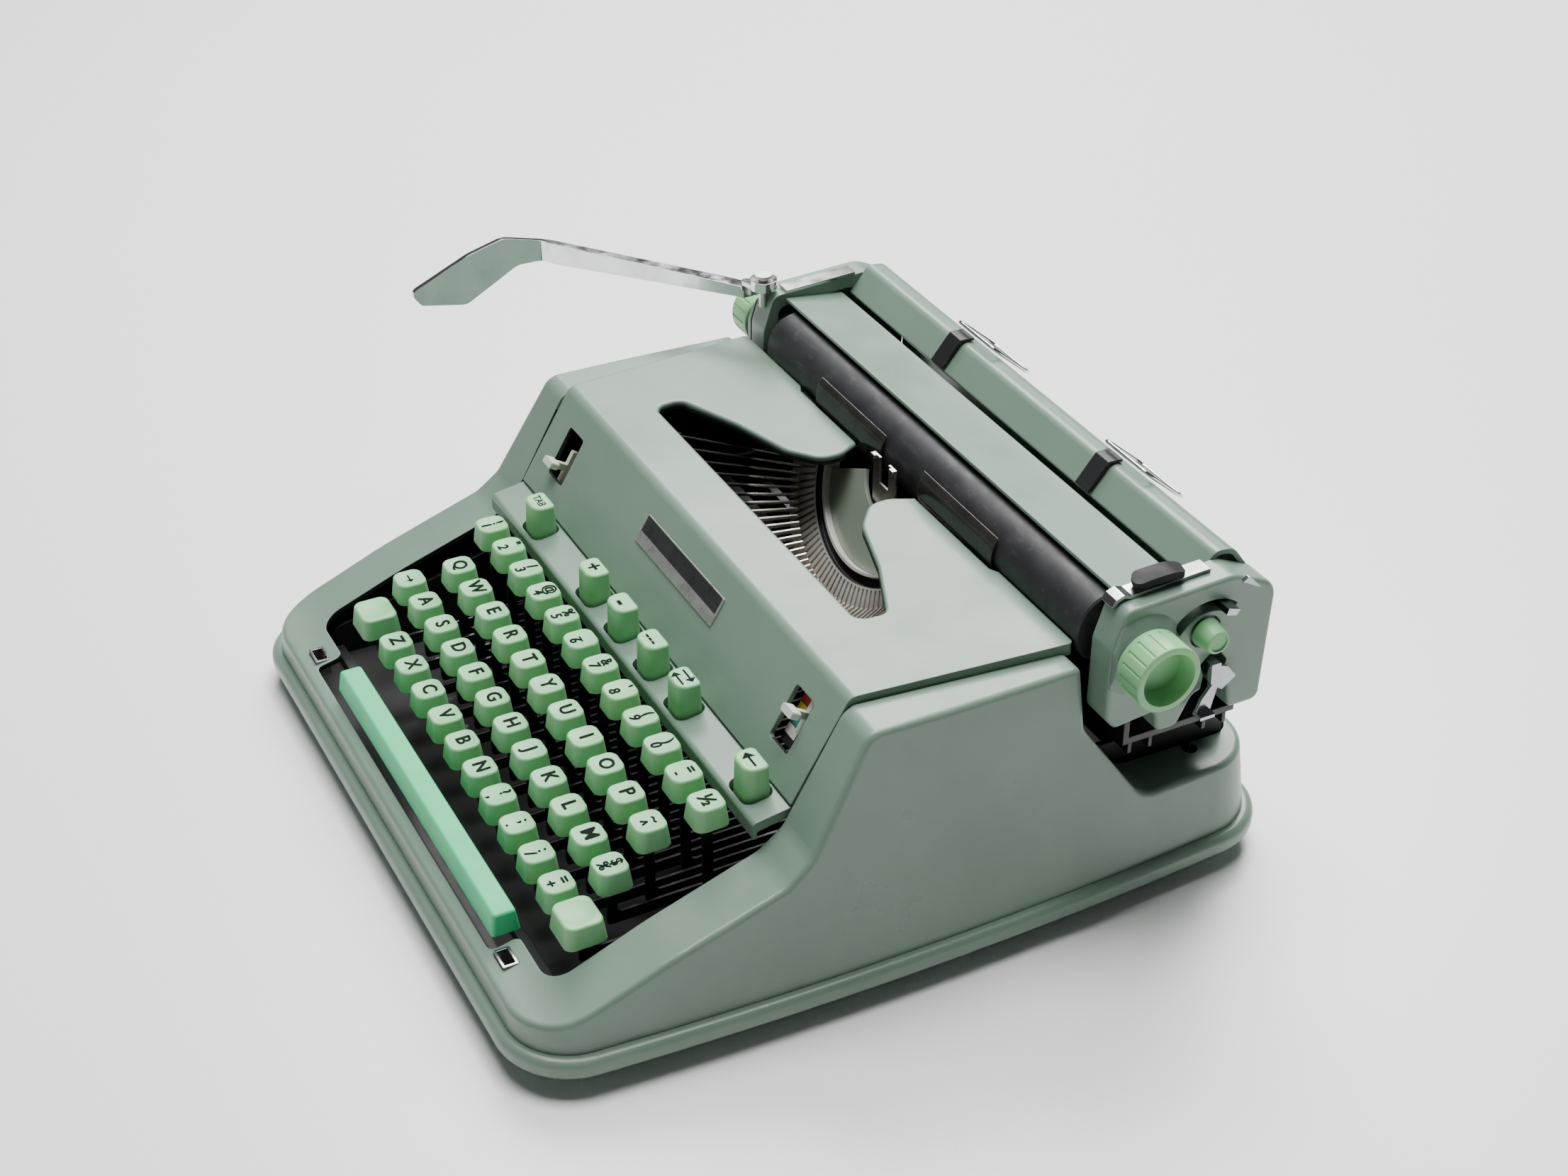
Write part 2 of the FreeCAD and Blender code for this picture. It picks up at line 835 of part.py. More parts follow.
def basket_placement():
    """Local X across the machine, local Y up the segment, local Z out of it."""
    centre, down, normal = basket_axes()
    return Placement(centre, Rotation(Vector(1, 0, 0), down * -1, normal, "ZYX"))


def bar_angles():
    """One angle about the print point for every typebar."""
    count = int(size("typebars"))
    span = size("ring_span") - 5
    return [-span + 2 * span * number / (count - 1) for number in range(count)]


def sector(inner, outer, half_angle, thick):
    """A ring sector about local Z, open upwards, from -thick to 0."""
    ring = Part.makeCylinder(outer, thick, Vector(0, 0, -thick), Vector(0, 0, 1), 2 * half_angle)
    ring = ring.cut(Part.makeCylinder(inner, thick, Vector(0, 0, -thick)))
    ring.rotate(Vector(), Vector(0, 0, 1), -90 - half_angle)
    return ring


def type_segment():
    """The segment that holds the typebars' pivots: a slotted band, a groove and a narrow inner rim."""
    thick, wide = size("ring_thick"), size("slot_wide")
    outer, band = size("ring_out"), size("groove_out")
    ring = sector(size("ring_in"), outer, size("ring_span"), thick)
    groove = Part.makeCylinder(band, size("groove_deep"), Vector(0, 0, -size("groove_deep")))
    groove = groove.cut(Part.makeCylinder(size("groove_in"), thick, Vector(0, 0, -thick)))
    slots = []
    for angle in bar_angles():
        slot = Part.makeBox(wide, outer - band, thick, Vector(-wide / 2, -outer - 1, -thick + 2.5))
        slot.rotate(Vector(), Vector(0, 0, 1), angle)
        slots.append(slot)
    ring = ring.cut(groove).cut(Part.makeCompound(slots))
    ring.Placement = basket_placement()
    return shaped("type_segment", ring)


def segment_plate():
    """The plate inside the segment, with a notch for the printing point."""
    inner = size("ring_in") - 0.2
    plate = sector(size("plate_in"), inner, size("ring_span") - 8, 2)
    plate.translate(Vector(0, 0, -3))
    plate.Placement = basket_placement().multiply(plate.Placement)
    return shaped("segment_plate", plate)


def typebar(angle):
    """One typebar at rest, with the type slug on its end."""
    swing = math.radians(size("typebar_swing"))
    thick = size("slot_wide") - 0.4
    pivot, reach = size("bar_pivot"), size("typebar_long")
    # in the bar's own plane: local X is the radial direction, local Y is out of the segment
    bar = Part.makeBox(reach, 3, thick, Vector(0, -1.5, -thick / 2))
    slug = Part.makeBox(3, 7, 2.2, Vector(reach - 3, -1.5, -1.1))
    bar = bar.fuse(slug).removeSplitter()
    bar.rotate(Vector(), Vector(0, 0, 1), math.degrees(math.pi - swing))
    bar.translate(Vector(pivot, 2, 0))
    bar.rotate(Vector(), Vector(1, 0, 0), 90)
    bar.rotate(Vector(), Vector(0, 0, 1), -90 + angle)
    bar.Placement = basket_placement().multiply(bar.Placement)
    return bar


def typebars():
    """All typebars but the one next to the middle, which has its own joint."""
    angles = bar_angles()
    middle = len(angles) // 2
    bars = [typebar(angle) for number, angle in enumerate(angles) if number != middle]
    shaped("typebars", Part.makeCompound(bars))
    shaped("typebar_middle", typebar(angles[middle]))


# ---- ribbon ---------------------------------------------------------------------------------------------


def ribbon_spool(label, side):
    x, y, z = side * size("spool_x"), size("spool_y"), size("spool_z")
    radius, tall = size("spool_rad"), size("spool_tall")
    spool = Part.makeCylinder(radius - 7, tall, Vector(x, y, z))
    for level in (z, z + tall - 0.8):
        spool = spool.fuse(Part.makeCylinder(radius, 0.8, Vector(x, y, level)))
    bore = Part.makeCylinder(size("spool_pin") + size("run_fit"), tall, Vector(x, y, z))
    return shaped(label, spool.cut(bore).removeSplitter())


def ribbon_guide():
    """The forked ribbon lifter in front of the printing point."""
    y, z = size("print_y") - 3.4, size("print_z")
    plate = Part.makeBox(18, 1, 26, Vector(-9, y, z - 22))
    notch = Part.makeBox(7, 3, 16, Vector(-3.5, y - 1, z - 8))
    hooks = [Part.makeBox(3, 2.2, 1.2, Vector(x, y - 1.2, z + 2.8)) for x in (-9, 6)]
    return shaped("ribbon_guide", plate.cut(notch).fuse(hooks).removeSplitter())


def card_guides():
    """Two curved blades that hold paper against the platen on both sides of the printing point."""
    inner, long = size("platen_rad") + 0.7, size("card_long")
    blades = []
    axis = Vector(1, 0, 0)
    for left in (size("card_left"), size("card_right")):
        start = Vector(left, size("platen_y"), size("platen_z"))
        outside = Part.makeCylinder(inner + 0.7, long, start, axis)
        blade = outside.cut(Part.makeCylinder(inner, long, start, axis))
        blades.append(blade.common(Part.makeBox(long, 18.2, 20, Vector(left, 50, 107))))
    return shaped("card_guides", Part.makeCompound(blades))


# ---- carriage -------------------------------------------------------------------------------------------


def carriage_rails():
    """Two fixed rails that the carriage runs on."""
    bars = []
    for number, middle in enumerate(("rail_y_front", "rail_y_rear")):
        corner = ("0-rail_half", f"{middle}-rail_side/2", "rail_z")
        bars.append(box(f"rail_{number}", ("2*rail_half", "rail_side", "rail_side"), corner))
    return group("carriage_rails", bars)


def carriage_frame():
    """The long channel under the platen that runs on the rails."""
    centre, half = size("carriage_x"), size("carriage_half")
    low = size("rail_z") + size("rail_side") + 0.4
    left, right = centre - half, centre + half
    front, rear = size("rail_y_front") - 8, size("rail_y_rear") + 9
    frame = Part.makeBox(right - left, rear - front, 3, Vector(left, front, low))
    upstand = Part.makeBox(right - left, 2.5, 22, Vector(left, front, low))
    back = Part.makeBox(right - left, 2.5, 26, Vector(left, rear - 2.5, low))
    guides = []
    for y in (size("rail_y_front"), size("rail_y_rear")):
        for side in (-1, 1):
            start = y + side * (size("rail_side") / 2 + 0.4) - (1.6 if side < 0 else 0)
            guides.append(Part.makeBox(right - left, 1.6, 4.6, Vector(left, start, low - 4.6)))
    channel = frame.fuse([upstand, back]).removeSplitter()
    return shaped("carriage_frame", Part.makeCompound([channel] + guides))


def housing_outline():
    """The carriage end's side view: sloped front, arched cut-out and two tabs underneath."""
    return [
        (68.6, 92, 5),
        (68.8, 122, 8),
        (74, 138, 5),
        (121, 140, 12),
        (140.4, 131, 9),
        (138.4, 79, 4),
        (124.4, 79, 2.5),
        (122.4, 91.6, 3),
        (107.4, 91.6, 5),
        (101, 78.6, 4),
        (92, 78.6, 3),
        (90.6, 88.6, 2.5),
        (73, 86.6, 3),
    ]


def curved_slot(left, right):
    """The arc-shaped slot around the button, seen from the machine's right end."""
    y, z = size("slot_y"), size("slot_z")
    ring = Part.makeCylinder(size("slot_outer"), right - left, Vector(left, y, z), Vector(1, 0, 0))
    ring = ring.cut(Part.makeCylinder(size("slot_inner"), right - left, Vector(left, y, z), Vector(1, 0, 0)))
    reach = 2 * size("slot_outer")
    corners = [(y, z, 0)]
    for degrees in (50, 100, 148):
        turn = math.radians(degrees)
        corners.append((y + reach * math.cos(turn), z + reach * math.sin(turn), 0))
    return ring.common(side_prism(corners, left, right))


def lever_notch(left, right):
    """The ragged opening above the arch for the carriage release."""
    outline = [
        (109.6, 90, 0),
        (120, 90, 0),
        (119.6, 98, 0.6),
        (120.8, 103, 0.6),
        (118, 107, 0.6),
        (112.8, 107.6, 0.6),
        (109, 104, 0.6),
        (110.8, 98.4, 0.6),
    ]
    return side_prism(outline, left, right)


def end_housing(label, side):
    """The painted end of the carriage, hollow towards the middle."""
    inner = size("carriage_x") + side * size("carriage_half")
    outer = inner + side * size("housing_wide")
    left, right = sorted((inner, outer))
    block = side_prism(housing_outline(), left, right)
    rim = [e for e in block.Edges if e.BoundBox.XLength < 0.01 and abs(e.BoundBox.XMin - outer) < 0.01]
    block = block.makeFillet(1.6, rim)
    axis_y, axis_z = size("platen_y"), size("platen_z")
    flare = Part.makeCone(size("knob_rad") + 3.5, size("knob_rad") - 1.5, 3.5, Vector(outer, axis_y, axis_z),
                          Vector(side, 0, 0))
    flare = flare.common(side_prism(housing_outline(), -200, 200))
    bore_rad = size("shaft_rad") + size("run_fit")
    bore = Part.makeCylinder(bore_rad, right - left + 10, Vector(left - 5, axis_y, axis_z), Vector(1, 0, 0))
    hollow = [
        (76, 100, 4),
        (76, 132, 4),
        (112, 134, 8),
        (134, 124, 6),
        (134, 84, 2),
        (127.4, 84, 2),
        (125, 95, 2),
        (104, 95, 4),
    ]
    pocket = side_prism(hollow, -5, 5)
    pocket.translate(Vector(inner, 0, 0))
    boss = Part.makeCylinder(9, right - left, Vector(left, axis_y, axis_z), Vector(1, 0, 0))
    block = block.cut(pocket).fuse([boss, flare]).cut(bore)
    roller_y, roller_z = roller_axis()
    roller_bore = size("roller_pin") + size("run_fit")
    roller_seat = Vector(inner - 9.5, roller_y, roller_z)
    block = block.cut(Part.makeCylinder(roller_bore, 19, roller_seat, Vector(1, 0, 0)))
    if side < 0:
        stud_hole = Part.makeCylinder(size("stud_rad"), 20, Vector((left + right) / 2, size("lever_y"), 131))
        block = block.cut(stud_hole)
    else:
        button_y, button_z = size("button_y"), size("button_z")
        button_hole = Part.makeCylinder(2.9, 30, Vector(left - 1, button_y, button_z), Vector(1, 0, 0))
        seat = Vector(right - 3, button_y, button_z)
        recess = Part.makeCylinder(size("button_rad") + 0.8, 4, seat, Vector(1, 0, 0))
        slots = [curved_slot(left - 1, right + 1), lever_notch(left - 1, right + 1)]
        block = block.cut([button_hole, recess] + slots)
    return shaped(label, block.removeSplitter())


def end_strips():
    """The bright strips along the tops of the two ends."""
    lying = [(80, 138.33, 0), (114, 139.72, 0), (114, 141.3, 0), (80, 139.9, 0)]
    # the right strip is bent down in front, over the platen
    bend = [(76.6, 140.9, 1.5), (73, 139.6, 1), (71.6, 137, 0)]
    bend += [(72.8, 136.4, 0), (74.2, 138.4, 0), (77, 139.4, 0)]
    hooked = lying + bend
    strips = []
    for side, profile in ((-1, lying), (1, hooked)):
        x = size("carriage_x") + side * (size("carriage_half") + 3)
        strips.append(side_prism(profile, x - 3.5, x + 3.5))
    return shaped("end_strips", Part.makeCompound(strips))


def platen():
    length = 2 * size("carriage_half") - 14
    start = Vector(size("carriage_x") - length / 2, size("platen_y"), size("platen_z"))
    axis = Vector(1, 0, 0)
    roller = Part.makeCylinder(size("platen_rad"), length, start, axis)
    roller = roller.makeChamfer(0.8, [e for e in roller.Edges if e.Length < 100])
    return shaped("platen", roller.cut(Part.makeCylinder(size("shaft_rad"), length, start, axis)))


def platen_shaft():
    reach = "2*(carriage_half+housing_wide+knob_gap+5)"
    start = (
        "centre_x+carriage_x-carriage_half-housing_wide-knob_gap-5",
        "centre_y+platen_y",
        "platen_z",
    )
    return named_rod("platen_shaft", "shaft_rad", reach, start)


def knob(label, side):
    """A knob with spaced grooves along its rim and a deep hollow end."""
    radius, deep = size("knob_rad"), size("knob_deep")
    body = Part.makeCylinder(radius, deep, Vector(), Vector(1, 0, 0))
    body = body.makeFillet(0.9, [e for e in body.Edges if e.BoundBox.XLength < 0.01])
    body = body.cut(Part.makeCone(radius - 4, radius - 2.6, 8, Vector(deep - 8, 0, 0), Vector(1, 0, 0)))
    grooves = 18
    for number in range(grooves):
        turn = 2 * math.pi * number / grooves
        spot = Vector(2.5, (radius + 0.25) * math.cos(turn), (radius + 0.25) * math.sin(turn))
        body = body.cut(Part.makeCylinder(0.6, deep - 3.5, spot, Vector(1, 0, 0)))
    body = body.cut(Part.makeCylinder(size("shaft_rad"), 5, Vector(), Vector(1, 0, 0)))
    if side < 0:
        body.rotate(Vector(), Vector(0, 0, 1), 180)
    reach = size("carriage_half") + size("housing_wide") + size("knob_gap")
    body.translate(Vector(size("carriage_x") + side * reach, size("platen_y"), size("platen_z")))
    return shaped(label, body)


def ratchet_wheel():
    """The toothed line-space wheel beside the platen's left end."""
    teeth, tip, root = 24, 11.5, 10
    points = []
    for number in range(teeth):
        turn = 2 * math.pi * number / teeth
        points.append((tip * math.cos(turn), tip * math.sin(turn), 0))
        ahead = turn + 1.6 * math.pi / teeth
        points.append((root * math.cos(ahead), root * math.sin(ahead), 0))
    wheel = flat_prism(points, 0, 3).cut(Part.makeCylinder(size("shaft_rad"), 3))
    wheel.rotate(Vector(), Vector(0, 1, 0), 90)
    left = size("carriage_x") - size("carriage_half") + 2
    wheel.translate(Vector(left, size("platen_y"), size("platen_z")))
    return shaped("ratchet_wheel", wheel)


def roller_axis():
    """The feed rollers' axis: below and behind the platen, all but touching it."""
    reach = size("platen_rad") + size("roller_rad") + 0.4
    turn = math.radians(70)
    return size("platen_y") + reach * math.cos(turn), size("platen_z") - reach * math.sin(turn)


def feed_rollers():
    """Rubber rollers on one rod under the platen."""
    centre, half = size("carriage_x"), size("carriage_half")
    y, z = roller_axis()
    axis = Vector(1, 0, 0)
    reach = half + 9
    line = Part.makeCylinder(size("roller_pin"), 2 * reach, Vector(centre - reach, y, z), axis)
    radius = size("roller_rad")
    rollers = []
    for x in (-102, -54, 28, 76):
        roller = Part.makeCylinder(radius, 26, Vector(centre + x, y, z), axis)
        rollers.append(roller.cut(line))
    return shaped("feed_rollers", Part.makeCompound([line] + rollers))


def paper_table():
    """The sloping plate that leads the paper behind the platen."""
    half = size("carriage_half")
    outline = [
        (79.6, 134.6, 0.4),
        (79.9, 136.2, 0.4),
        (108, 132.6, 1),
        (110, 124, 0.4),
        (108, 124, 0.4),
        (106.4, 131.2, 1),
    ]
    plate = side_prism(outline, -half, half)
    plate.translate(Vector(size("carriage_x"), 0, 0))
    return shaped("paper_table", plate)


def rear_cover():
    """The lid behind the paper table, rolled over at its top edge."""
    half = size("carriage_half")
    outer = [
        (111.2, 131, 1),
        (121, 143, 4),
        (129, 142, 6),
        (141.5, 125, 6),
        (141.5, 84, 0),
        (139.5, 84, 0),
        (139.5, 124.4, 5),
        (128, 140, 5),
        (122, 141, 3),
        (113.4, 130.4, 1),
    ]
    lid = side_prism(outer, -half, half)
    lid.translate(Vector(size("carriage_x"), 0, 0))
    return shaped("rear_cover", lid)


def paper_rest_clips():
    clips = []
    outline = [
        (110.6, 133.4, 0),
        (119.6, 144.6, 1),
        (126, 144.2, 0),
        (126, 143.1, 0),
        (120.4, 143.5, 1),
        (111.4, 132.8, 0),
    ]
    for x in (-62, 50):
        clips.append(side_prism(outline, x, x + 9))
    shape = Part.makeCompound(clips)
    shape.translate(Vector(size("carriage_x") + 4, 0, 0))
    return shaped("paper_rest_clips", shape)


def paper_rest_wires():
    """The two chrome bails, rounded loops of wire, that swing up to hold the paper."""
    thick, wide = size("bail_rad"), size("bail_wide")
    rise = Vector(0, size("bail_foot_y") - size("bail_y"), size("bail_foot_z") - size("bail_z"))
    outline = [(0, 0, 4), (wide, 0, 4), (wide, rise.Length, 4), (0, rise.Length, 4)]
    path = Part.Wire(Part.__sortEdges__(rounded(outline)))
    start = path.OrderedEdges[0]
    section = Part.Circle(start.valueAt(start.FirstParameter), start.tangentAt(start.FirstParameter), thick)
    bail = path.makePipeShell([Part.Wire(section.toShape())], True, False)
    bail.rotate(Vector(0, 0, 0), Vector(1, 0, 0), math.degrees(math.atan2(rise.z, rise.y)))
    bails = []
    for x in (-62, 50):
        bails.append(bail.translated(Vector(size("carriage_x") + x, size("bail_y"), size("bail_z"))))
    return shaped("paper_rest_wires", Part.makeCompound(bails))


def return_lever():
    """The line-space and return lever: a hub, an upright bar and a paddle bent forwards and down."""
    y, z = size("lever_y"), size("lever_z")
    x = size("carriage_x") - size("carriage_half") - size("housing_wide") / 2
    thick = size("lever_thick_bar")
    tip = x - size("lever_reach")
    hub = Part.makeCylinder(6, 4.4, Vector(x, y, z))
    plan = [
        (x - 3, y + 4, 1),
        (tip + 4, y - 62, 5),
        (tip, y - 66, 5),
        (tip, y - 140, 0),
        (tip + thick, y - 140, 0),
        (tip + thick, y - 66.6, 4),
        (tip + 4 + thick, y - 64.4, 4),
        (x + 1, y - 1, 1),
    ]
    edge = [
        (y + 8, 133.6, 0),
        (y - 8, 133.2, 8),
        (9.6, 126.6, 4),
        (-6.6, 126.8, 9),
        (-32.5, 112.6, 6),
        (-54, 117, 3),
        (-59, 124, 3),
        (-30, 137, 20),
        (-13, 141.6, 9),
        (6, 136.6, 9),
        (y - 10, 138.4, 0),
        (y + 8, 138.4, 0),
    ]
    blade = flat_prism(plan, 100, 150).common(side_prism(edge, tip - 5, x + 10))
    seat = flat_prism([(x - 12, y - 9, 2), (x, y - 5, 2), (x + 4, y, 2), (x - 3, y + 4, 2)], 137, z + 1.6)
    lever = hub.fuse([blade, seat]).removeSplitter()
    bore = Part.makeCylinder(size("stud_rad") + size("run_fit"), 30, Vector(x, y, z - 15))
    lever = lever.cut(bore)
    clear = flat_prism(square_points(size("housing_wide") / 2 + 0.4, 30, 0, x, y + 20), 120, z - 0.2)
    return shaped("return_lever", lever.cut(clear))


def lever_stud():
    """The headed stud that the return lever turns on."""
    x = size("carriage_x") - size("carriage_half") - size("housing_wide") / 2
    y, top = size("lever_y"), size("lever_z") + 5.4
    stud = Part.makeCylinder(size("stud_rad"), top - 131, Vector(x, y, 131))
    head = Part.makeCylinder(4, 1.4, Vector(x, y, top))
    return shaped("lever_stud", stud.fuse(head).removeSplitter())


def knob_button():
    """The tapered push button inside the curved slot."""
    face = size("carriage_x") + size("carriage_half") + size("housing_wide")
    y, z = size("button_y"), size("button_z")
    radius = size("button_rad")
    button = Part.makeCone(radius, radius - 1.3, 8.4, Vector(face + 0.4, y, z), Vector(1, 0, 0))
    button = button.makeFillet(1, [e for e in button.Edges if e.BoundBox.XMin > face + 8])
    dish = Part.makeCylinder(radius - 2.4, 1, Vector(face + 8.2, y, z), Vector(1, 0, 0))
    stem = Part.makeCylinder(2.5, 8, Vector(face - 7, y, z), Vector(1, 0, 0))
    return shaped("knob_button", button.cut(dish).fuse(stem).removeSplitter())


def paper_release_lever():
    """A crowned thumb piece that lies on the right end."""
    x = size("carriage_x") + size("carriage_half") + 3
    plan = flat_prism([(x - 4, 84, 3), (x + 4, 80, 3), (x + 5, 102, 2), (x - 3, 104, 2)], 140, 148)
    crown = [(78, 142, 0), (106, 142, 0), (106, 143.4, 0), (97, 145.4, 12), (87, 144.8, 12), (78, 142.9, 0)]
    return shaped("paper_release_lever", side_prism(crown, x - 6, x + 7).common(plan))


def platen_release_lever():
    """A bright lever whose stem comes out of the rear end of the curved slot."""
    face = size("carriage_x") + size("carriage_half") + size("housing_wide")
    shank = [(113.6, 128.3, 0.4), (118.2, 127, 0.4), (119.8, 129.4, 0.4), (114.6, 131, 0.4)]
    stem = side_prism(shank, face - 9, face + 6)
    finger = [(114, 128.2, 1), (116.6, 139.6, 1), (122.4, 142.6, 1), (129.6, 134.6, 1), (121.8, 126.6, 1)]
    tab = side_prism(finger, face + 4.2, face + 6)
    bent = [(119.6, 141, 0), (128.4, 136, 0), (129.6, 134.6, 0), (122.4, 142.6, 0)]
    flag = side_prism(bent, face + 4.2, face + 9)
    return shaped("platen_release_lever", stem.fuse([tab, flag]).removeSplitter())


def carriage_release_lever():
    """The release for free carriage travel: a plate behind the notch with two bent tabs outside."""
    inner = size("carriage_x") + size("carriage_half")
    face = inner + size("housing_wide")
    back = [(111.4, 105.6, 0.5), (115.6, 105.6, 0.5), (115.4, 96.6, 0.5), (111.8, 96.6, 0.5)]
    wing = [(111.4, 105.6, 0.5), (118.6, 103, 0.5), (123, 97.4, 0.5), (117, 93, 0.5), (112, 96.6, 0.5)]
    tail = [(108.4, 91, 0.5), (113.6, 98, 0.5), (115.4, 96.6, 0.5), (112.4, 84, 0.5), (106, 84, 0.5)]
    fold = [(106, 84, 0), (112.4, 84, 0), (112.6, 85.4, 0), (106.2, 85.4, 0)]
    spine = side_prism(back, inner + 1, face + 4)
    upper = side_prism(wing, face + 2.4, face + 4)
    lower = side_prism(tail, face + 2.4, face + 4)
    lip = side_prism(fold, face + 2.4, face + 7.4)
    return shaped("carriage_release_lever", spine.fuse([upper, lower, lip]).removeSplitter())


base_tray()
feet()
body_shell()
latch_sockets()
hood()
key_shelf()
nameplate()
touch_scale()
window_lever("touch_lever", 1, 2, 27)
window_lever("ribbon_lever", -1, -2, 18)
chassis()
lever_shaft()
for row, count in ((4, 12), (3, 11), (2, 11), (1, 10)):
    row_keys(row, count)
    row_levers(row, count)
shift_key("shift_key_left", size("shift_x_left"))
shift_key("shift_key_right", size("shift_x_right"))
shift_bail()
shift_lock()
space_bar()
TALL_KEYS = {
    "key_tab": 0,
    "key_tab_set": 2,
    "key_tab_clear": 3,
    "key_clear_all": 4,
    "key_margin_release": 5,
    "key_backspace": 7,
}
for label, slot in TALL_KEYS.items():
    tall_key(label, slot)
type_segment()
segment_plate()
typebars()
ribbon_spool("ribbon_spool_left", -1)
ribbon_spool("ribbon_spool_right", 1)
ribbon_guide()
card_guides()
carriage_rails()
carriage_frame()
end_housing("end_housing_left", -1)
end_housing("end_housing_right", 1)
end_strips()
platen()
platen_shaft()
knob("knob_left", -1)
knob("knob_right", 1)
ratchet_wheel()
feed_rollers()
paper_table()
rear_cover()
paper_rest_clips()
paper_rest_wires()
return_lever()
lever_stud()
knob_button()
paper_release_lever()
platen_release_lever()
carriage_release_lever()

doc.recompute()
faults = []
for item in doc.Objects:
    if "Invalid" in item.State or "Error" in item.State:
        faults.append(f"{item.Label}: {item.State}")
for item in PIECES:
    if item.Shape.isNull() or not item.Shape.isValid():
        faults.append(f"{item.Label}: bad shape")
if faults:
    raise RuntimeError("; ".join(faults))
for item in PIECES:
    item.Shape.exportStep(f"parts/{item.Label}.step")
whole = Part.makeCompound([item.Shape for item in PIECES]).BoundBox
print(len(PIECES), "pieces")
print("x", whole.XMin, whole.XMax, "y", whole.YMin, whole.YMax, "z", whole.ZMin, whole.ZMax)
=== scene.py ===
import json
import math

import bpy
from mathutils import Matrix, Vector


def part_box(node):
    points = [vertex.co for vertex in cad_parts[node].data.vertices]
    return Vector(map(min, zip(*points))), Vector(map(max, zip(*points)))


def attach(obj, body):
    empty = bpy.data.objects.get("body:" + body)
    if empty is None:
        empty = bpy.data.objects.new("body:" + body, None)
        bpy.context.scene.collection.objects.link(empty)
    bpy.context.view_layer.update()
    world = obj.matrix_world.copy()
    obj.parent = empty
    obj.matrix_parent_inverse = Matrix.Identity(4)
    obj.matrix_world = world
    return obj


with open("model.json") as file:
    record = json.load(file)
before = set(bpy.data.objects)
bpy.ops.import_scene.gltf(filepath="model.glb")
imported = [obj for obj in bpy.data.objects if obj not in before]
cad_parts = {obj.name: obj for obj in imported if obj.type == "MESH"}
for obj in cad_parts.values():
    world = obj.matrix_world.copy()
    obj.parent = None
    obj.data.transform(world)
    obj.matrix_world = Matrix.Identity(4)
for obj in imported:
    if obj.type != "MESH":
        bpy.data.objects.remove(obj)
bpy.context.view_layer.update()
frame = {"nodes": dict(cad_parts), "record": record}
MM = 0.001
TRAY_LOW, TRAY_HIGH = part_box("base_tray")
# the machine's own origin lies on the body's centre plane, 4 mm behind the middle of the tray
OFFSET = (TRAY_LOW + TRAY_HIGH) / (2 * MM) + Vector((0, 4, 0))
OFFSET.z = 0


def spot(x, y, z):
    """A point given in machine millimetres, in the row's metres."""
    return (Vector((x, y, z)) + OFFSET) * MM


# ---- materials ------------------------------------------------------------------------------------------


